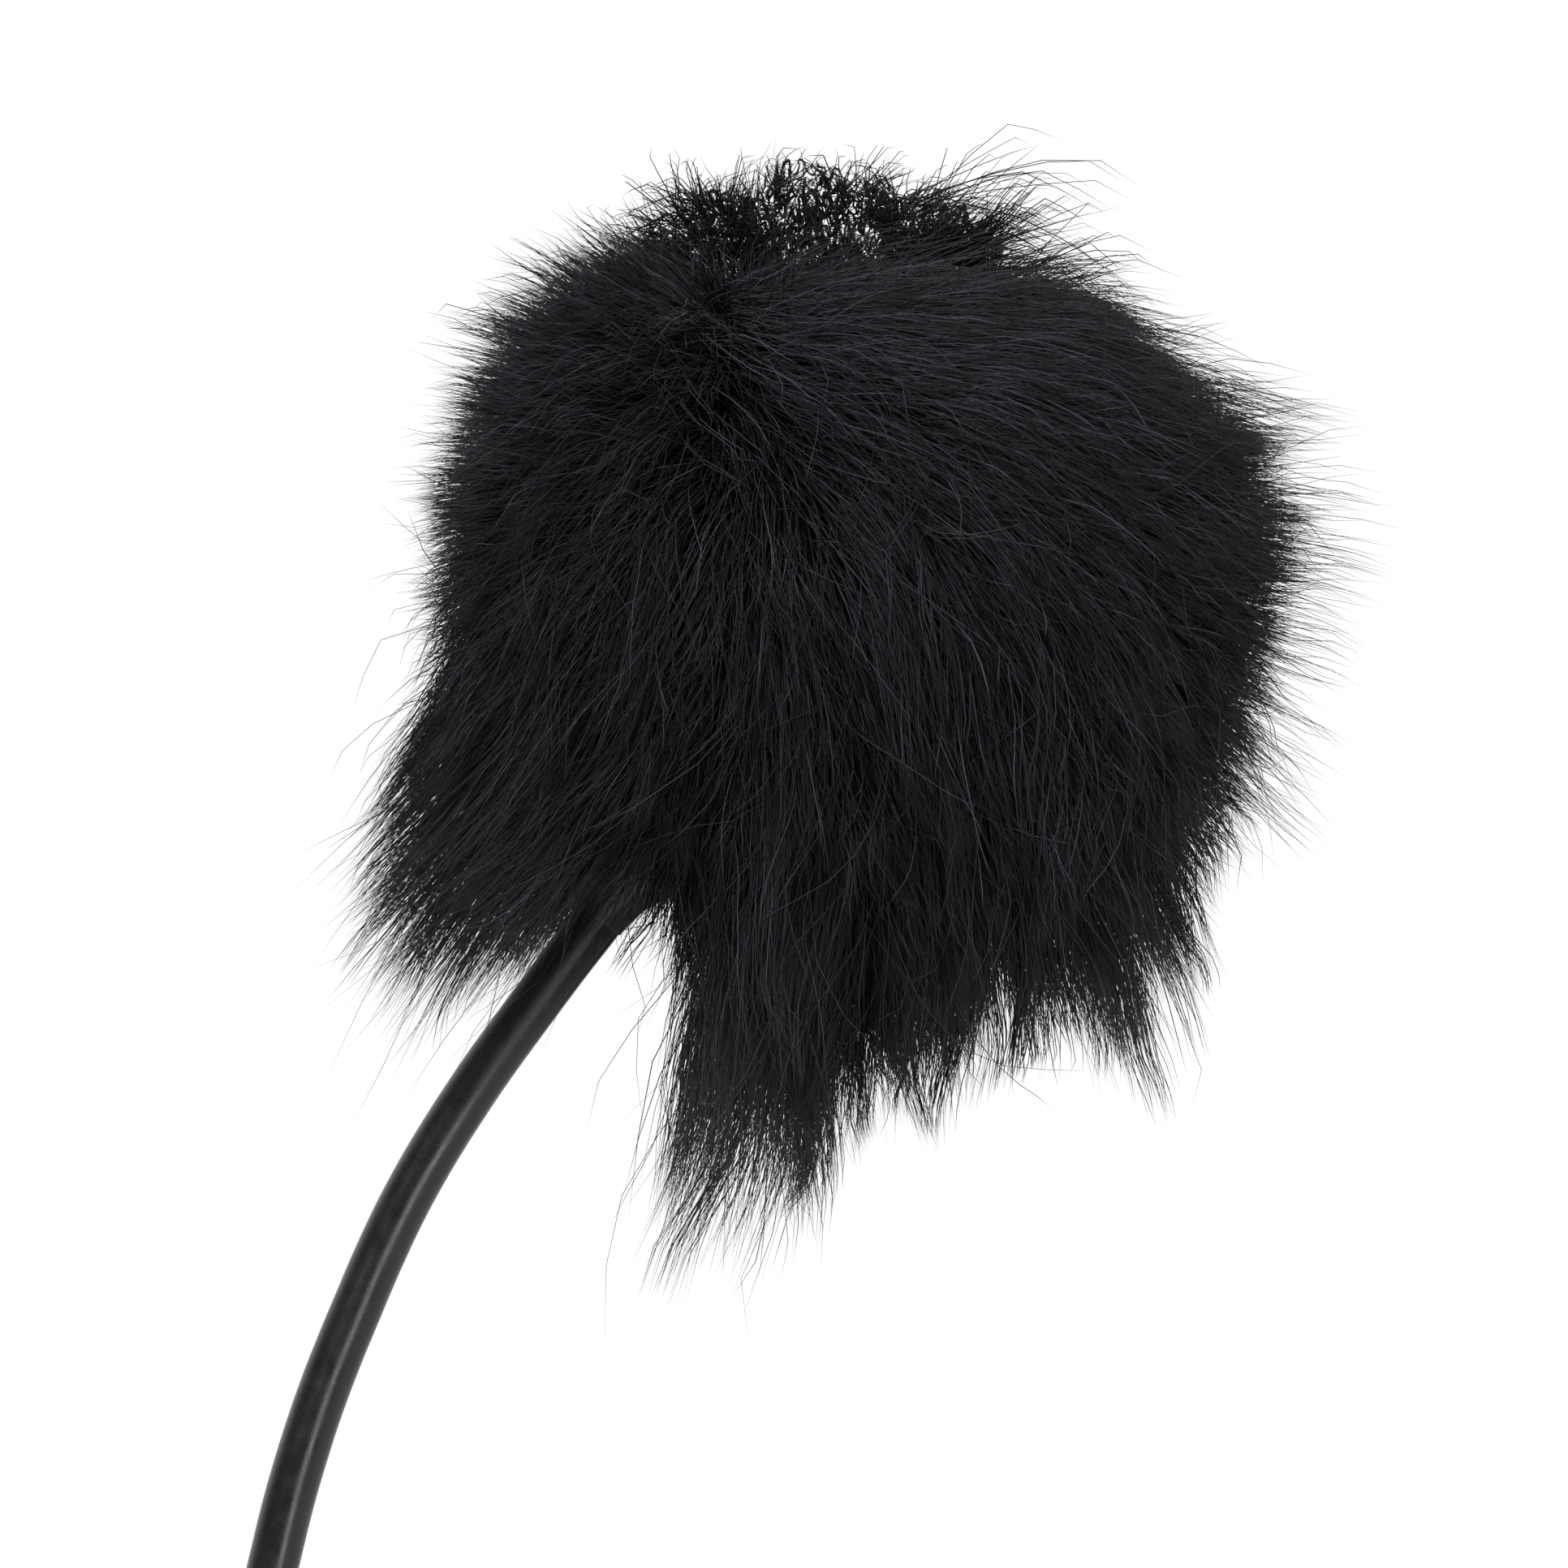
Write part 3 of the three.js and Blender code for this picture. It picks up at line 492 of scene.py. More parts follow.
plug_bore = cable_radius + 0.04
relief = [(1.3, 0), (1.5, 0.2)]
for k in range(4):
    low, radius = 1.1 + 1.35 * k, 1.62 + 0.13 * k
    relief += [(radius, low), (radius - 0.3, low + 0.12), (radius - 0.27, low + 0.5), (radius + 0.08, low + 0.62)]
handle_low, handle_high = 8.15, 26.15
grip = []
for k in range(3):
    low = handle_low + 5 + 2 * k
    grip += [(3.25, low), (3.0, low + 0.08), (3.0, low + 0.92), (3.25, low + 1)]
for name, outline, sides, bevel, material, slot, node in [
    ("plug_strain_relief",
     [(plug_bore, 6.2), (plug_bore, 0), *relief, (2.2, 6.6), (2.4, 8), (0, 8), (0, 6.2), (plug_bore, 6.2)],
     64, 0.06, boot_rubber, "boot_rubber", "plug_boot"),
    ("plug_barrel",
     [(0, handle_low), (2.75, handle_low), (3.25, handle_low + 0.5), *grip, (3.25, handle_high - 0.5),
      (2.75, handle_high), (1.9, handle_high), (1.9, handle_high - 1.5), (0, handle_high - 1.5)],
     72, 0.07, handle_black, "handle_black", "plug_handle"),
    ("sleeve_shell", [(0, 24.8), (1.6, 24.8), (1.75, 24.95), (1.75, 32.15), (0, 32.15)],
     64, 0.04, gold_plate, "gold", "sleeve_contact"),
    ("sleeve_collar", solid_disc(1.6, 32.3, 33.0), 64, 0.04, insulator_black, "insulator_black", "sleeve_insulator"),
    ("ring_shell", solid_disc(1.75, 33.15, 35.55), 64, 0.04, gold_plate, "gold", "ring_contact"),
    ("ring_collar", solid_disc(1.6, 35.7, 36.4), 64, 0.04, insulator_black, "insulator_black", "ring_insulator"),
    ("tip_shell",
     [(0, 36.55), (1.75, 36.55), (1.72, 36.7), (1.3, 37.35), (1.1, 37.76), (1.16, 38.0), (1.5, 38.45),
      (1.75, 38.73), (1.66, 39.0), (1.1, 39.75), (0.55, 40.35), (0.3, 40.45), (0, 40.45)],
     64, 0.04, gold_plate, "gold", "tip_contact"),
]:
    piece = turned(name, outline, sides, bevel, plug_place, turn=math.pi, sharp=50 if name == "tip_shell" else 40)
    dress(piece, material, "microphone", slot, node)

# Strap round the coil: one band with its loose end lapped over the outside

tie_angle = math.radians(72)


def strap(name, low, high, half, width, thickness, corner, wanted=None):
    """A band round a rectangle with rounded corners, in the strap's own plane, cut back to the wanted side."""
    bpy.ops.mesh.primitive_plane_add(size=1, location=((low + high) / 2 * MM, 0, 0))
    piece = begin(name)
    bpy.ops.transform.resize(value=((high - low) * MM, 2 * half * MM, 1))
    bpy.ops.mesh.bevel(offset=corner * MM, segments=8, affect="VERTICES")
    select_all()
    bpy.ops.mesh.delete(type="ONLY_FACE")
    select_all()
    bpy.ops.transform.translate(value=(0, 0, -width / 2 * MM))
    for _ in range(6):
        bpy.ops.mesh.extrude_edges_move(TRANSFORM_OT_translate={"value": (0, 0, width / 6 * MM)})
    select_all()
    bpy.ops.mesh.normals_make_consistent(inside=False)
    if wanted is not None:
        bpy.ops.mesh.bisect(plane_co=(wanted * MM, 0, 0), plane_no=(-1, 0, 0), clear_outer=True)
    bpy.ops.object.mode_set(mode="OBJECT")
    bpy.ops.object.transform_apply(location=True, rotation=True, scale=True)
    modify(piece, "SOLIDIFY", thickness=thickness * MM, offset=0)
    soften(piece, 0.14, 2, 50)
    shade(40)
    settle(piece, coil_centre * (1, 0, 1), lean=-tie_angle)
    return dress(piece, strap_cloth, "microphone", "tie_strap")


tie_slack = 0.4
tie_low, tie_high, tie_half = 5.516 - tie_slack, 18.3 + tie_slack, 5.25 + tie_slack
coil_strap = strap("coil_strap", tie_low, tie_high, tie_half, 4, 0.75, 1.6)
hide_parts("coil_tie")
strap_end = strap("coil_strap_end", tie_low + 5, tie_high + 0.85, tie_half + 0.85, 3.8, 0.6, 2.2, tie_high - 4.5)

# Microphone: smooth barrel, boot and cap over the solids

barrel = turned("microphone_barrel", [
    (2.15, 0), (3, 0), (3, 10.4), (2.9, 10.5), (2.9, 10.75), (3, 10.85), (3, 11.7), (2.65, 11.7), (2.65, 0.8),
    (2.15, 0.8), (2.15, 0)], 72, 0.06, lean=mic_lean)
dress(barrel, black_metal, "microphone", "black_metal", "mic_barrel")

boot_bore, boot_foot = cable_radius + 0.03, -boot_length
boot = turned("cable_relief", [
    (boot_bore, boot_foot + 1), (boot_bore, boot_foot), (1.1, boot_foot), (1.11, boot_foot + 0.15), (1.15, -3.1),
    (1.26, -2.4), (1.5, -1.8), (1.8, -1.3), (1.95, -1), (2, -0.8), (2, 0.95), (2.5, 0.95), (2.5, 1.5), (0.7, 1.5),
    (0.7, boot_foot + 1), (boot_bore, boot_foot + 1)], 64, 0.05, lean=mic_lean)
dress(boot, boot_rubber, "microphone", "boot_rubber", "cable_boot")

cap = turned("sound_cap", [
    (2.15, 10.75), (2.5, 10.75), (2.5, 11.85), (3, 11.85), (3, 13.15), (2.92, 13.34), (2.7, 13.5), (0, 13.5),
    (0, 13.0), (2.15, 13.0), (2.15, 10.75)], 72)
bpy.ops.mesh.primitive_cylinder_add(vertices=24, radius=0.35 * MM, depth=2 * MM, location=(0, 0, 13.4 * MM))
seven_holes = begin("seven_holes")
bpy.ops.mesh.duplicate()
bpy.ops.transform.translate(value=(1.2 * MM, 0, 0))
bpy.ops.mesh.spin(steps=6, dupli=True, angle=2 * math.pi, center=(0, 0, 0), axis=(0, 0, 1))
select_all()
bpy.ops.mesh.remove_doubles(threshold=0.002 * MM)
bpy.ops.object.mode_set(mode="OBJECT")
bpy.ops.object.transform_apply(location=True, rotation=True, scale=True)
choose(cap)
modify(cap, "BOOLEAN", operation="DIFFERENCE", object=seven_holes, solver="EXACT")
bpy.data.objects.remove(seven_holes)
shade(35)
settle(cap, lean=mic_lean)
dress(cap, black_metal, "microphone", "black_metal", "grille_cap")

# Windscreen: foam core, hem, elastic and the knit bag

foam_foot, bore_end = 2.19, 13.8
foam_angles = np.linspace(math.asin((foam_foot - ball_height) / foam_radius), math.pi / 2, 26)
foam = turned("foam_ball", [
    (bore_radius, foam_foot + 0.26), (bore_radius + 0.25, foam_foot),
    *((foam_radius * math.cos(a), ball_height + foam_radius * math.sin(a)) for a in foam_angles[:-1]),
    (0, ball_height + foam_radius), (0, bore_end), (bore_radius - 0.4, bore_end), (bore_radius, bore_end - 0.4),
    (bore_radius, foam_foot + 0.26)], 72, lean=mic_lean, sharp=60)
dress(foam, make_foam(), "windscreen", "foam", "foam_core")

hem_low, hem_high, elastic_radius = -1.12, 0.976, 4.3


def gathered(co):
    """Small gathers that the elastic draws in the hem."""
    angle, radius = np.arctan2(co[:, 1], co[:, 0]), np.hypot(co[:, 0], co[:, 1])
    gather = np.sin(26 * angle + 0.8 * np.sin(3 * angle)) + 0.35 * np.sin(41 * angle + 1)
    out = np.clip((radius - 3.7) / 1.2, 0, 1)
    co[:, 2] += 0.13 * gather * out * np.clip((hem_high - co[:, 2]) / 1.2, 0, 1)
    co[:, :2] *= (1 + 0.012 * gather * out)[:, None]
    return co


def ribbed(co):
    """Ribs that its winding leaves on the elastic."""
    ridge = 0.97 + 0.03 * np.sin(72 * np.arctan2(co[:, 1], co[:, 0]))
    flat = np.hypot(co[:, 0], co[:, 1])
    co[:, 2] *= ridge
    co[:, :2] *= ((elastic_radius + (flat - elastic_radius) * ridge) / flat)[:, None]
    return co


hem = turned("gathered_hem", [
    (3.36, hem_low + 0.3), (3.5, hem_low + 0.05), (4.0, hem_low - 0.12), (4.7, hem_low - 0.08),
    (5.15, hem_low + 0.15), (5.3, hem_low + 0.7), (5.28, hem_high), (4.98, hem_high), (4.96, hem_low + 0.75),
    (4.8, hem_low + 0.42), (4.3, hem_low + 0.33), (3.8, hem_low + 0.42), (3.68, hem_low + 0.75), (3.68, hem_high),
    (3.36, hem_high), (3.36, hem_low + 0.3)], 192, sharp=80)
reshape(hem, gathered)
settle(hem, lean=mic_lean)
dress(hem, hem_cloth, "windscreen", "hem_fabric", "hem_band")

bpy.ops.mesh.primitive_torus_add(major_segments=144, minor_segments=14, major_radius=elastic_radius * MM,
                                 minor_radius=0.47 * MM)
elastic = bpy.context.object
elastic.name = elastic.data.name = "elastic_ring"
reshape(elastic, ribbed)
bpy.ops.object.shade_smooth()
settle(elastic, mic_axis * (hem_low + 1), lean=mic_lean)
dress(elastic, elastic_cord, "windscreen", "elastic", "hem_elastic")


def make_panel(name, side, node):
    """Half of the bag, from a ball cut at its mouth and at the seam, with the knit's thickness."""
    bpy.ops.mesh.primitive_uv_sphere_add(segments=96, ring_count=64, radius=knit_radius * MM, location=(0, 0, 0))
    piece = begin(name)
    bpy.ops.mesh.bisect(plane_co=(0, 0, (1.3 - ball_height) * MM), plane_no=(0, 0, -1), clear_outer=True)
    select_all()
    bpy.ops.mesh.bisect(plane_co=(0, side * 0.17 * MM, 0), plane_no=(0, -side, 0), clear_outer=True)
    bpy.ops.object.mode_set(mode="OBJECT")
    modify(piece, "SOLIDIFY", thickness=0.72 * MM, offset=0, use_even_offset=True)
    shade(50)
    settle(piece, ball_centre, lean=mic_lean)
    return dress(piece, knit_backing, "windscreen", "knit_backing", node)


panel_front = make_panel("knit_panel_front", -1, "backing_front")
panel_back = make_panel("knit_panel_back", 1, "backing_back")

# Pile: hair by hair, combed away from the crown and hanging in locks below

rng = np.random.default_rng(41)
# Depth of the pile at angles round the ball from +X towards +Z, as shares of its length
pile_shares = np.array([
    (-180, 0.98), (-173, 1), (-168, 1.12), (-163, 1.42), (-158, 1.72), (-154, 2.2), (-150, 2.85), (-145, 3.15),
    (-140, 3.3), (-135, 4.05), (-131.5, 2.8), (-129, 1.35), (-124, 1.05), (-120, 1.0), (-117, 1.15), (-114, 1.35),
    (-111, 1.7), (-107, 3.6), (-104, 4.1), (-99, 3.95), (-95, 3.65), (-92, 2.8), (-88, 2.1), (-84, 1.9), (-79, 1.95),
    (-71, 1.9), (-64, 1.95), (-59, 2.75), (-55, 3.2), (-51, 3), (-46, 1.95), (-42, 1.5), (-36, 1.4), (-28, 1.4),
    (-21.8, 1.28), (-12, 1.15), (-4, 1.2), (5, 1.42), (11, 1.45), (16, 1.2), (20, 1.4), (26, 1.1), (33, 0.92),
    (40, 0.86), (46, 0.82), (52, 0.72), (58, 0.6), (65, 0.4), (72, 0.28), (78, 0.22), (84, 0.2), (95, 0.2),
    (106, 0.25), (113, 0.6), (118, 1.35), (124, 1.8), (130, 1.9), (138, 1.82), (145, 1.9), (151, 1.65), (158, 1.42),
    (165, 1.32), (171, 1.05), (180, 0.98)])
# Which way the hairs point at the outline, in degrees from +X towards +Z, by their place round the ball
comb_angles = np.array([
    (-180, -142), (-174, -130), (-168, -112), (-160, -104), (-152, -104), (-145, -108), (-138, -114), (-132, -121),
    (-127, -116), (-122, -98), (-118, -92), (-113, -90), (-108, -95), (-105, -104), (-101, -108), (-97, -107),
    (-92, -98), (-88, -92), (-75, -89), (-55, -85), (-45, -80), (-35, -66), (-25, -48), (-10, -29), (5, -17),
    (20, -10), (35, -5), (45, -3), (55, 3), (65, 10), (74, 18), (82, 27), (88, 52), (94, 86), (105, 116), (112, 138),
    (118, 160), (130, 186), (145, 198), (160, 206), (172, 213), (180, 218)])
# The longest hair by place round the ball
length_by_place = np.array([
    (-180, 8), (-172, 10.5), (-165, 12.5), (-157, 15), (-150, 16), (-142, 16), (-134, 15), (-131, 11), (-127, 9),
    (-122, 10), (-118, 16), (-112, 18), (-104, 20), (-95, 19), (-90, 15), (-75, 13.5), (-55, 16), (-48, 14),
    (-40, 10.5), (-30, 10), (0, 10), (30, 9.5), (50, 8.5), (66, 7.5), (75, 5), (85, 3.5), (100, 3), (112, 3.5),
    (120, 5), (135, 5.5), (160, 5.5), (172, 6.5), (180, 8)])
front_length = 9.5
# How far out the hanging fur is dense, and how much of it hangs in locks beyond that, by place round the ball
dense_reach = np.array([(-180, 0.9), (-156, 0.85), (-148, 0.5), (-132, 0.3), (-127, 0.5), (-120, 0.8), (-98, 0.75),
                        (-90, 0.4), (-72, 0.27), (-50, 0.3), (-34, 0.7)])
hanging_share = np.array([(-180, 0.08), (-130, 0.1), (-122, 0.22), (-98, 0.26), (-90, 0.22), (-62, 0.2), (-34, 0.12)])
notch_left, notch_right, notch_length = -131, 5.2, 8.5
mouth_angle, golden_angle, clear_radius = 26, 2.399963, 3.5
crown = np.array([-6.4, 0, 14.8])
pile_root, pile_base, pile_length, front_depth = 13.0, 13.4, 4.4, 3.4


def eased(table, degrees):
    """A value from a table by angle, eased between its places."""
    place = np.clip(np.searchsorted(table[:, 0], degrees) - 1, 0, len(table) - 2)
    low, high = table[place], table[place + 1]
    share = np.clip((degrees - low[:, 0]) / (high[:, 0] - low[:, 0]), 0, 1)
    return low[:, 1] + (high[:, 1] - low[:, 1]) * share * share * (3 - 2 * share)


def bearing(out):
    """Angle round the outline, in degrees from +X towards +Z."""
    return np.degrees(np.arctan2(out[:, 2], out[:, 0]))


def nearness(out):
    """How near the outline a direction is."""
    return np.hypot(out[:, 0], out[:, 2])


def round_outline(angle, radius=1.0, deep=0.0):
    """Points at angles round the outline."""
    return np.stack(np.broadcast_arrays(radius * np.cos(angle), deep, radius * np.sin(angle)), 1)


def in_left_lobe(degrees):
    """How far a place belongs to the lobe that hangs left of the cable."""
    return np.exp(-((degrees + 147) / 16) ** 2)


def skin(points):
    """How far out the pile reaches in each point's direction."""
    out = unit(points)
    share = eased(pile_shares, bearing(out))
    fading = 1.5 + 1.1 * np.clip(share - 1, 0, 1.6)
    return pile_base + front_depth + (pile_length * share - front_depth) * nearness(out) ** fading


wave = [(rng.normal(size=3) * s, rng.uniform(0, 6.28), rng.normal(size=3))
        for s in (0.25, 0.35, 0.45, 0.55, 0.7, 0.9, 1.1, 1.5)]


def swirl(points):
    """A slow wandering direction, the same for hairs that are near each other."""
    return sum(np.sin(points @ k + phase)[:, None] * way for k, phase, way in wave) / 3


def combed(points):
    """Which way a hair grows at each point."""
    out = unit(points)
    degrees = bearing(out)
    fan = (points - crown) * (1, 0, 1)
    fan[:, 2] *= 0.5 + 0.5 * np.minimum(norm(fan, axis=1) / 12, 1)
    fan = unit(fan)
    flow = unit(fan - out * np.sum(fan * out, 1, keepdims=True))
    hang = np.clip(0.45 - out[:, 2:3], 0, 1) ** 1.2
    flow = unit(flow * (1 - hang) + np.array([0.03, 0, -1]) * hang)
    edge = round_outline(np.radians(eased(comb_angles, degrees)))
    lobe = in_left_lobe(degrees)
    seam = np.exp(-((degrees - 85) / 30) ** 2)
    near = (nearness(out) ** (2.4 - 1.9 * lobe + 22 * np.clip(out[:, 2], 0, 1) + 20 * seam))[:, None]
    loose = 0.3 - 0.15 * lobe[:, None]
    return unit(edge * near + flow * (1 - near) + 0.1 * out * (1 - near) + loose * swirl(points))


def grow(roots, lengths, reach, steps, stray):
    """Hair paths that rise from the roots to the pile's outer shape and then lie along it."""
    fine = steps * 3
    paths = np.empty((len(roots), fine + 1, 3))
    paths[:, 0] = point = roots
    step = (lengths / fine)[:, None]
    for i in range(fine):
        t = (i + 1) / fine
        radius = norm(point, axis=1, keepdims=True)
        out = point / radius
        slow = 1.1 * in_left_lobe(bearing(out))[:, None]
        way = unit(combed(point) + stray * min(1, 0.3 + t))
        rising = np.sum(way * out, 1, keepdims=True)
        room = (skin(point)[:, None] - pile_root) * reach[:, None]
        needed = np.clip((pile_root + room * (1 - (1 - t) ** (2.2 - slow)) - radius) / step, -0.25, 0.94)
        along = unit(way - out * rising)
        climb = np.where(rising > needed, rising, needed)
        point = point + step * (along * np.sqrt(np.maximum(1 - climb * climb, 0)) + out * climb)
        radius = norm(point, axis=1, keepdims=True)
        point = point * np.maximum(1, (pile_root + 0.3 * min(t * 3, 1)) / radius)
        paths[:, i + 1] = point
    return paths


def cut_to_shape(paths, reach, steps):
    """Cuts each path where it leaves the pile's shape, and leaves points at even steps along it."""
    count, fine = paths.shape[:2]
    outer = np.stack([skin(paths[:, k]) for k in range(fine)], 1)
    over = norm(paths, axis=2) - pile_root - (outer - pile_root) * reach[:, None]
    beyond = over > 0.02
    crossed = beyond.any(1)
    last = np.where(crossed, beyond.argmax(1), fine - 1)
    before = np.maximum(last - 1, 0)
    rows = np.arange(count)
    a, b = over[rows, before], over[rows, last]
    share = np.where(crossed, np.clip(-a / np.maximum(b - a, 1e-6), 0, 1), 1)
    at = np.maximum(before + share, 0.8)[:, None] * np.linspace(0, 1, steps + 1)[None]
    low = np.minimum(at.astype(int), fine - 2)
    part = (at - low)[..., None]
    return paths[rows[:, None], low] * (1 - part) + paths[rows[:, None], low + 1] * part


def clear_of_microphone(points):
    """Combs hairs apart round the barrel and boot, so that the windscreen slides off past them."""
    flat = points.reshape(-1, 3)
    height = flat @ mic_axis + ball_height
    off = flat + mic_axis * ball_height - height[:, None] * mic_axis
    away = norm(off, axis=1)
    wanted = clear_radius + 0.6 * np.clip(1.5 - away / clear_radius, 0, 1)
    push = np.where((height < 13) & (away < wanted), wanted - away, 0)
    return (flat + off / np.maximum(away, 0.05)[:, None] * push[:, None]).reshape(points.shape)


def spread_roots(count):
    """Evenly scattered places on the ball, without the mouth and the crest."""
    i = np.arange(count) + 0.5
    z = 1 - 2 * i / count
    turn = i * golden_angle
    flat = np.sqrt(1 - z * z)
    out = np.stack([flat * np.cos(turn), flat * np.sin(turn), z], 1)
    out = unit(out + rng.normal(size=out.shape) * 0.6 / math.sqrt(count))
    mouth = np.degrees(np.arccos(out @ -mic_axis)) > mouth_angle
    degrees = bearing(out)
    crest = (np.abs(out[:, 1] * pile_root) < 0.95) & (degrees > 49) & (degrees < 121)
    return out[mouth & ~crest]


def nearest(out, leaders):
    """For each place, the nearest of the leaders' places."""
    tree = KDTree(len(leaders))
    for i, place in enumerate(leaders):
        tree.insert(place, i)
    tree.balance()
    return np.array([tree.find(place)[1] for place in out])


def longest(out):
    """The longest hair at each place, with short ones where the cable leaves between the two hanging lobes."""
    degrees = bearing(out)
    hanging = (degrees > -155) & (degrees < -96)
    near = nearness(out) ** np.where(hanging, 0.6, 2 + 9 * np.clip(out[:, 2], 0, 1))
    length = eased(length_by_place, degrees) * near + front_length * (1 - near)
    across = out[:, 0] * pile_root
    beside = np.clip((across + notch_right) / 0.5, 0, 1) + np.clip((notch_left - degrees) / 3, 0, 1)
    beside = np.where((degrees > -96) | (out[:, 2] > -0.35), 1, np.minimum(beside, 1))
    return length * beside + notch_length * (1 - beside)


def any_way(count):
    return unit(rng.normal(size=(count, 3)))


def each(values):
    """One value for each hair, ready to multiply the points along it."""
    return values[:, None, None]


def waves(t, speed, count):
    """A wave along each of the hairs or locks, to its own side and still at the root."""
    phase = rng.uniform(0, 6.28, (count, 1, 1))
    return any_way(count)[:, None] * (np.sin(speed * t + phase) - np.sin(phase))


def hairs(out, steps, length, reach, stray, wild=0.0, locks=0, clump=0.0, pairs=0.0, frizz=0.1, apart=0.14,
          uneven=(0.84, 1.1), crimp=0.0, early=1.0, tight=0.87, lean=(0, 0, 0)):
    """Points along each hair from its place on the ball, gathered into locks and finer strands."""
    n = len(out)
    loose = (rng.random(n) < wild) * rng.uniform(0.35, 1, n)
    astray = any_way(n) * (stray * np.abs(rng.normal(size=n)) + 0.8 * loose)[:, None] + np.array(lean)
    far = reach[0] + (reach[1] - reach[0]) * rng.random(n) ** 0.6 + 0.12 * loose
    shape = grow(out * pile_root, longest(out) * rng.uniform(*length, n), far, steps, astray)
    t = np.linspace(0, 1, steps + 1)[None, :, None]
    if locks:
        guides = spread_roots(locks)
        g = len(guides)
        guide_reach = rng.uniform(*uneven, g)
        guide_lengths = longest(guides) * rng.uniform(0.8, 1.05, g)
        guide_paths = grow(guides * pile_root, guide_lengths, guide_reach, steps, any_way(g) * apart)
        guide_paths = cut_to_shape(guide_paths, guide_reach, steps)
        mine = nearest(out, guides)
        shape = cut_to_shape(shape, far * guide_reach[mine], steps)
        pull = clump * np.clip(rng.normal(1, 0.3, n), 0.1, 1.25) * (1 - loose)
        beside = (out - guides[mine])[:, None] * pile_root * (1 - tight * t)
        drawn = np.clip(each(pull) * np.minimum(t / early, 1) ** 1.15, 0, 0.97)
        shape = shape * (1 - drawn) + (guide_paths[mine] + beside) * drawn
        for turns in (0.8, 1.7, 2.9):
            shape = shape + (waves(t, 6.283 * turns, g) * t * crimp / turns)[mine]
    else:
        shape = cut_to_shape(shape, far, steps)
    if pairs:
        few = rng.choice(n, n // 5, replace=False)
        led = few[nearest(out, out[few])]
        drawn = pairs * t ** 0.8 * each(1 - loose) * each(rng.uniform(0.5, 1, n))
        ends = shape[led] + (out - out[led])[:, None] * pile_root * (1 - 0.8 * t)
        shape = shape * (1 - drawn) + ends * drawn
    size = each(norm(shape[:, -1] - shape[:, 0], axis=1))
    for turns in (0.55, 1.2):
        sway = waves(t, 6.283 * turns, n) * each(rng.uniform(0.2, 1, n))
        shape = shape + sway * frizz * (size / 8) / turns * np.sqrt(t)
    return clear_of_microphone(shape), out


def strands(name, paths, radius, shade):
    """One closed mesh of tapering three-sided hairs, with a map along each hair and a map of cells to bake on."""
    n, rings = paths.shape[0], paths.shape[1] - 1
    tangent = unit(np.gradient(paths, axis=1))
    side = unit(np.cross(tangent, unit(paths[:, :1] + 0.01) + 0.001))
    other = np.cross(tangent, side)
    taper = 1 - 0.72 * (np.arange(rings) / rings) ** 1.3
    angle = (np.arange(3) * 2 * math.pi / 3)[:, None]
    round_it = side[:, :rings, None] * np.cos(angle) + other[:, :rings, None] * np.sin(angle)
    body = paths[:, :rings, None] + round_it * (radius[:, None, None, None] * taper[None, :, None, None])
    points = np.concatenate([body.reshape(n, -1, 3), paths[:, -1:]], 1) + ball_centre
    per = rings * 3 + 1
    corner, starts, uv, along = [], [], [], []
    for k in range(rings):
        low, high = 0.12 + 0.86 * k / rings, 0.12 + 0.86 * (k + 1) / rings
        for s in range(3):
            a, b = k * 3 + s, k * 3 + (s + 1) % 3
            starts.append(len(corner))
            uv += [(s / 3, low), ((s + 1) / 3, low)]
            along += [k / rings] * 2
            if k < rings - 1:
                corner += [a, b, b + 3, a + 3]
                uv += [((s + 1) / 3, high), (s / 3, high)]
                along += [(k + 1) / rings] * 2
            else:
                corner += [a, b, per - 1]
                uv.append(((s + 0.5) / 3, 0.98))
                along.append(1)
    starts.append(len(corner))
    corner += [2, 1, 0]
    uv += [(0, 0), (1, 0), (0.5, 0.09)]
    along += [0, 0, 0]
    at = len(corner)

    def repeated(values, per_hair):
        """The numbers of one hair, moved on for each of the others."""
        return (np.array(values)[None] + np.arange(n)[:, None] * per_hair).astype(np.int32).ravel()

    mesh = bpy.data.meshes.new(name)
    mesh.vertices.add(n * per)
    mesh.vertices.foreach_set("co", (points * MM).astype(np.float32).ravel())
    mesh.loops.add(n * at)
    mesh.loops.foreach_set("vertex_index", repeated(corner, per))
    mesh.polygons.add(n * len(starts))
    mesh.polygons.foreach_set("loop_start", repeated(starts, at))
    mesh.update(calc_edges=True)
    mesh.polygons.foreach_set("use_smooth", np.ones(len(mesh.polygons), bool))
    cells = math.ceil(math.sqrt(n))
    cell = np.stack([np.arange(n) % cells, np.arange(n) // cells], 1)
    baked = (cell[:, None] + 0.06 + 0.88 * np.array(uv)[None]) / cells
    # The strand map holds each hair's glint value, whose highest values paint the hair light as a highlight, and its
    # place along the hair.
    hair = np.stack([np.repeat(shade[:, None], at, 1), np.repeat(np.array(along)[None], n, 0)], -1)
    for title, values in (("strand", hair), ("OFBake", baked)):
        layer = mesh.uv_layers.new(name=title)
        layer.data.foreach_set("uv", values.astype(np.float32).ravel())
    return new_object(name, mesh)


sectors = [("left_fringe", -180, -121), ("low_fringe", -121, -72), ("right_fringe", -72, -30), ("right", -30, 25),
           ("crown_right", 25, 88), ("crown_left", 88, 180)]


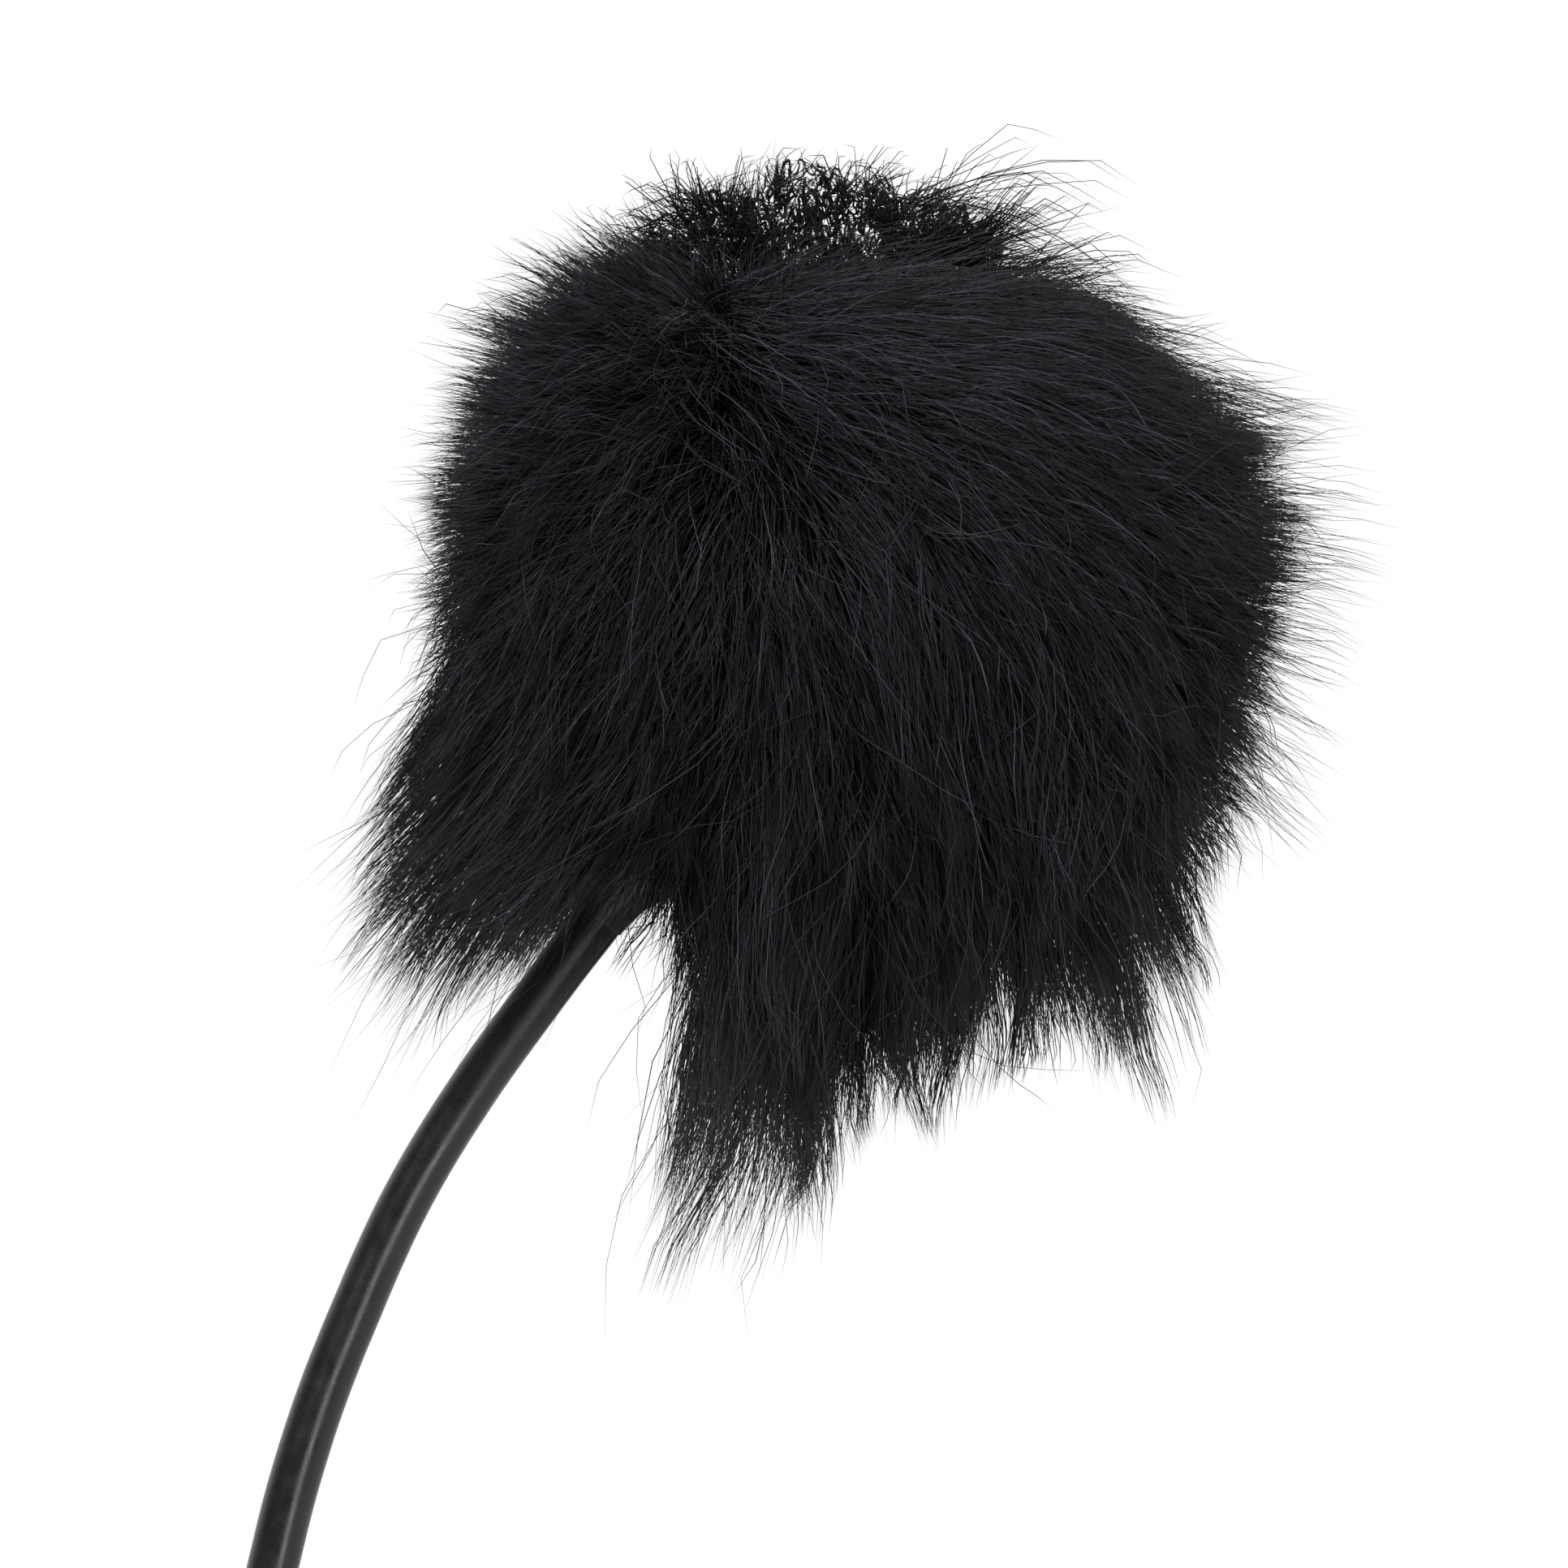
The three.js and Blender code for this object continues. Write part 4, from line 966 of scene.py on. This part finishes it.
def plant(kind, grown, thickness, painted_glint=(0, 1)):
    """Splits grown hairs by their place on the ball into pieces, and dresses each."""
    paths, out = grown
    degrees = bearing(out)
    for face, rows in (("front", out[:, 1] <= 0), ("back", out[:, 1] > 0)):
        for title, low, high in sectors:
            chosen = rows & (degrees >= low) & (degrees < high)
            n = int(chosen.sum())
            if n:
                # Each hair draws its glint value from the given range; the highest values paint it light as a
                # highlight.
                piece = strands(f"{kind}_{face}_{title}", paths[chosen], rng.uniform(*thickness, n),
                                rng.uniform(*painted_glint, n))
                dress(piece, pile_fibre, "windscreen", "pile_fur", "pile_" + face)


def scatter(kind, count, where, steps, length, reach, stray, thickness, painted_glint=(0, 1), **gathering):
    """Plants fewer hairs, by their angle round the outline and how near the outline they are."""
    out = spread_roots(count)
    out = out[where(bearing(out), nearness(out))]
    plant(kind, hairs(out, steps, length, reach, stray, **gathering), thickness, painted_glint)


everywhere = spread_roots(40000)
around = bearing(everywhere)
low_down = (around > -166) & (around < -34) & (nearness(everywhere) > 0.42) & (everywhere[:, 2] < -0.12)
body, fringe = everywhere[~low_down], everywhere[low_down]
below = bearing(fringe)
hanging = rng.random(len(fringe)) < eased(hanging_share, below)
dense = ~hanging & (rng.random(len(fringe)) < 0.85)
thick = eased(dense_reach, below[dense])
plant("pile", hairs(body, 4, (0.8, 1.2), (0.6, 1.06), 0.4, wild=0.32, locks=1000, clump=0.7, pairs=0.5, frizz=0.18,
                    apart=0.42, uneven=(0.74, 1.12), crimp=0.15), (0.032, 0.05))
plant("fringe", hairs(fringe[dense], 5, (0.25 + 0.7 * thick, 0.45 + 0.7 * thick), (0.5 * thick, thick), 0.28,
                      wild=0.15, locks=600, clump=0.75, pairs=0.4, frizz=0.34, crimp=0.3), (0.032, 0.048), (0.55, 0.9))
plant("locks", hairs(fringe[hanging], 9, (0.95, 1.2), (0.75, 1.1), 0.08, wild=0.04, locks=300, clump=0.97, pairs=0.3,
                     frizz=0.16, apart=0.16, uneven=(0.7, 1.12), crimp=0.5, early=0.4, tight=0.94), (0.034, 0.052))
under = spread_roots(22000)
thick = 0.95 * eased(dense_reach, bearing(under))
plant("underfur", hairs(under, 2, (0.4 * thick, 0.8 * thick), (0.5 * thick, thick), 0.3, frizz=0.1), (0.03, 0.042))
scatter("collar", 30000, lambda a, f: (a > -134) & (a < -112) & (f > 0.62) & (f < 0.93), 4, (0.7, 1.1), (0.6, 1.1),
        0.35, (0.028, 0.042), wild=0.1, pairs=0.4, frizz=0.35)
scatter("wisps_right", 3600, lambda a, f: (a > -20) & (a < 78) & (f > 0.82), 6, (1.0, 1.7), (1.02, 1.6), 0.2,
        (0.022, 0.032), pairs=0.7, frizz=0.15)
scatter("wisps_left", 2200, lambda a, f: ((a > 100) | (a < -128)) & (f > 0.7), 6, (0.7, 1.2), (1.0, 1.3), 0.6,
        (0.02, 0.03), frizz=0.7)
scatter("wisps_crest", 5200, lambda a, f: (a > 76) & (a < 126) & (f > 0.84), 6, (0.7, 1.5), (1.0, 2.4), 0.7,
        (0.026, 0.042), (0.2, 1), pairs=0.4, frizz=0.3)
scatter("wisps_top", 9000, lambda a, f: (f < 0.985) & (a > 0) | (a < -165) & (f < 0.9), 6, (0.9, 1.5), (0.92, 1.05),
        0.45, (0.026, 0.042), (0.3, 1), pairs=0.6, frizz=0.2)
# These long hairs over the top draw high glint values, so many are painted lighter as highlights.
scatter("wisps_over", 9000, lambda a, f: (a > 62) & (a < 138) & (f > 0.6), 8, (1.0, 2.0), (0.95, 1.12), 0.25,
        (0.028, 0.044), (0.72, 1), locks=400, clump=0.5, pairs=0.6, frizz=0.25, lean=(1.3, 0, -0.5))
scatter("whorl", 50000, lambda a, f: (a > 98) & (a < 146) & (f > 0.6) & (f < 0.98), 4, (0.5, 0.95), (0.35, 0.98), 0.6,
        (0.028, 0.044), (0.2, 0.9), pairs=0.4, frizz=0.2)
scatter("wisps_front", 4200, lambda a, f: (f < 0.85) & (a > -150), 9, (0.6, 1.4), (0.95, 1.06), 0.9,
        (0.026, 0.04), (0.5, 1), frizz=0.5)
scatter("wisps_low", 3000, lambda a, f: (a > -128) & (a < -104) & (f > 0.6), 6, (0.5, 1.1), (0.5, 1.3), 0.5,
        (0.02, 0.03), frizz=1.0)
# A pale fibre caught on the front
caught = np.array([[(4.1, -16.6, -1.2), (4.7, -16.8, -1.9), (5.1, -16.8, -2.8), (5.35, -16.6, -3.7),
                    (5.5, -16.3, -4.6)]])
dress(strands("caught_fibre", caught, np.array([0.05]), np.ones(1)), pile_fibre, "windscreen", "pile_fur")

# Crest: the bag's sewn top edge, an open knit that stands up almost bare

crest_shares = np.array([
    (48, 0.1), (52, 0.2), (58, 0.3), (65, 0.45), (70, 0.7), (75, 0.85), (80, 0.88), (86, 1.0), (92, 1.08), (98, 1.1),
    (104, 1.02), (110, 1.02), (115, 1.12), (119, 0.95), (123, 0.6)])
crest_foot, crest_height = 0.2, 4.1


def make_crest():
    """Rows of open knitted loops in two layers, pulled about, with the loose stitching of the edge."""
    points, faces, shades = [], [], []
    loops, rows, per_loop, sides = 44, 9, 8, 5
    angle_low, angle_high = math.radians(50), math.radians(121)

    def lay(line, thickness):
        tangent = unit(np.gradient(line, axis=0))
        side = unit(np.cross(tangent, Y + 0.01))[:, None]
        other = np.cross(tangent, side[:, 0])[:, None]
        turn = (np.arange(sides) / sides * 2 * math.pi)[:, None]
        uneven = thickness * (1 + 0.22 * np.sin(np.arange(len(line)) * 1.7 + rng.uniform(0, 6)))
        ring = line[:, None] + each(uneven) * (side * np.cos(turn) + other * np.sin(turn))
        first = sum(len(p) for p in points)
        points.append(ring.reshape(-1, 3))
        end = first + (len(line) - 1) * sides
        for i in range(first, end, sides):
            for j in range(sides):
                a, b = i + j, i + (j + 1) % sides
                faces.append((a, b, b + sides, a + sides))
        faces.extend([tuple(range(first, first + sides))[::-1], tuple(range(end, end + sides))])
        shades.extend([rng.uniform(0.1, 0.7)] * (4 * (end - first) + 2 * sides))

    bend = [(rng.normal(size=2) * (1.0, 0.7), rng.uniform(0, 6.28), rng.normal(size=3)) for _ in range(9)]

    def crumpled(line, along, row, much=0.14):
        flat = np.stack([along * 19, np.full_like(along, row)], 1)
        return line + much * sum(np.sin(flat @ k + phase)[:, None] * way * (1, 0.5, 1) for k, phase, way in bend)

    for layer in (-1, 1):
        for row in range(rows):
            t = np.linspace(0, loops * 2 * math.pi, loops * per_loop + 1) + (1.6 if layer > 0 else 0)
            along = (t + 0.5 * np.sin(2 * t)) / (loops * 2 * math.pi)
            angle = angle_high + (angle_low - angle_high) * np.clip(along, 0, 1)
            share = eased(crest_shares, np.degrees(angle))
            share = share * (1 + 0.06 * np.sin(angle * 31) + 0.06 * np.sin(angle * 53 + 1))
            swing = 0.55 + 0.25 * np.sin(0.37 * t + row * 2)
            height = pile_root + crest_foot + crest_height * share * ((row + 0.5 + swing * np.cos(t)) / rows)
            line = round_outline(angle, height, layer * 0.4 + layer * 0.12 * np.cos(2 * t + row))
            line = crumpled(line, along, row * 0.7 + layer * 4) + rng.normal(size=line.shape) * 0.05
            for cut in np.array_split(np.arange(len(line)), 24):
                if rng.random() < 0.95 - 0.5 * (row / rows) ** 3:
                    lay(line[max(cut[0] - 1, 0):cut[-1] + 1], 0.062 * rng.uniform(0.7, 1.3))
    # Threads that run up and down through the loops
    for _ in range(60):
        angle = math.radians(rng.uniform(51, 121)) + np.cumsum(rng.normal(size=8)) * 0.014
        top = eased(crest_shares, np.degrees(angle))
        height = pile_root + np.linspace(0.1, 4.3 * rng.uniform(0.6, 1.06), 8) * top
        deep = rng.choice((-1, 1)) * 0.45 + np.cumsum(rng.normal(size=8)) * 0.05
        lay(round_outline(angle, height, deep), rng.uniform(0.05, 0.11))
    piece = mesh_object("crest_knit", np.concatenate(points) + ball_centre, faces)
    layer = piece.data.uv_layers.new(name="strand")
    values = np.stack([shades, np.full(len(shades), 0.5)], 1)
    layer.data.foreach_set("uv", values.astype(np.float32).ravel())
    return dress(piece, knit_yarn, "windscreen", "knit_backing", "seam_crest")


crest = make_crest()


def make_crest_hair(name, n, tufts, low, high, length, spread, frizz, beyond):
    """Hairs that stand out of the crest and lie over it in small tufts, between two angles round the ball."""
    which = rng.integers(0, tufts, n)
    degrees = rng.uniform(low, high, tufts)[which] + rng.normal(size=n) * 0.9
    share = eased(crest_shares, degrees)
    up = np.clip(rng.random(tufts)[which] + rng.normal(size=n) * 0.1, 0, 1)
    height = pile_root + crest_foot + crest_height * share * up
    front = rng.choice((-1, 1), tufts)[which]
    roots = round_outline(np.radians(degrees), height, front * rng.uniform(0.35, 0.75, n))
    way = round_outline(np.radians(eased(comb_angles, degrees)), 1.0, front * 0.3)
    way = unit(way + unit(roots) * 0.1 + (rng.normal(size=(tufts, 3)) * (spread, spread * 0.6, spread))[which])
    way = unit(way + rng.normal(size=(n, 3)) * 0.22)
    size = rng.uniform(*length, n) * rng.uniform(0.7, 1.1, tufts)[which]
    bend = any_way(tufts)[which] * rng.uniform(0.1, 0.5, n)[:, None]
    t = np.linspace(0, 1, 6)[None, :, None]
    paths = roots[:, None] + each(size) * (way[:, None] * t + bend[:, None] * t * t) + waves(t, 7, n) * frizz * t
    limit = each(pile_base + pile_length * share + rng.uniform(0.1, beyond, n) * rng.uniform(0.4, 1, tufts)[which])
    far = norm(paths, axis=2, keepdims=True)
    paths = np.where(far > limit, paths * (limit / far), paths)
    dress(strands(name, paths, rng.uniform(0.022, 0.04, n), rng.random(n)), pile_fibre, "windscreen", "pile_fur")


make_crest_hair("crest_fuzz", 2600, 300, 49, 123, (0.7, 3), 1.5, 0.35, 1.5)
make_crest_hair("crest_tufts", 300, 22, 58, 84, (4, 9), 0.18, 0.1, 5)
make_crest_hair("crest_end", 700, 60, 106, 126, (1.5, 4.5), 0.8, 0.4, 3.4)

# Light, background and floor


def lamp(name, place, aim, size, power):
    """A soft lamp, with its place, aim, width and height in millimetres."""
    data = bpy.data.lights.new(name, "AREA")
    data.shape, data.energy = "RECTANGLE", power
    data.size, data.size_y = size[0] * MM, size[1] * MM
    obj = new_object(name, data)
    obj.location = np.array(place) * MM
    way = np.array(aim) - np.array(place)
    obj.rotation_euler = (math.acos(-way[2] / norm(way)), 0, math.atan2(way[1], way[0]) - math.pi / 2)
    return obj


lamp("overhead_softbox", (-80, -250, 385), (5, 0, 0), (240, 240), 1.6)
fill = lamp("side_fill", (-240, -300, 230), (5, 0, 0), (240, 240), 0.5)
fill.visible_glossy = False
strip = lamp("right_strip", (225, -390, 20), (0, 0, -10), (110, 420), 0.8)
strip.visible_diffuse = False


def seen_by(tree, *kinds):
    """One for rays of any of the kinds, else nought."""
    rays = add(tree, "LightPath").outputs
    seen = rays[f"Is {kinds[0]} Ray"]
    for kind in kinds[1:]:
        seen = maths(tree, "MAXIMUM", seen, rays[f"Is {kind} Ray"])
    return seen


# The world is white for the camera. Reflections see a white backdrop behind and a darker room in front.
world = bpy.data.worlds.new("studio")
scene.world = world
world.use_nodes = True
tree = world.node_tree
away = add(tree, "SeparateXYZ", {0: add(tree, "TexCoord").outputs["Generated"]}).outputs["Y"]
behind = mapped(tree, away, -0.2, 0.6, interpolation_type="SMOOTHSTEP")
room = blend(tree, seen_by(tree, "Glossy", "Transmission"), grey(0.58), blend(tree, behind, grey(0.1), white))
feed(tree, tree.nodes["Background"], {"Color": blend(tree, seen_by(tree, "Camera"), room, white)})

# The floor keeps the shadow, and glows for the camera with distance, so that no horizon shows
floor_size, floor_height = 4, -0.122  # metres
bpy.ops.mesh.primitive_plane_add(size=floor_size, location=(0, 0, floor_height))
floor = bpy.context.object
floor.name = "studio_floor"
floor_paper, tree, floor_shader = shader("floor paper", Roughness=0.9, Emission_Strength=1.0)
paper = add(tree, "Group", {"Size": 1.5, "Dark": grey(0.8), "Light": grey(0.84)}, node_tree=grain_group)
away = add(tree, "VectorMath", {0: add(tree, "TexCoord").outputs["Object"]}, operation="LENGTH").outputs["Value"]
faint = mapped(tree, away, 0.15, 0.9, 0.06, 0.54, interpolation_type="SMOOTHSTEP")
glow = blend(tree, times(tree, seen_by(tree, "Camera", "Glossy", "Transmission"), faint), black, white)
feed(tree, floor_shader, {"Base Color": paper.outputs["Color"], "Emission Color": glow})
floor.data.materials.append(floor_paper)
floor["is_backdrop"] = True

low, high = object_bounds()
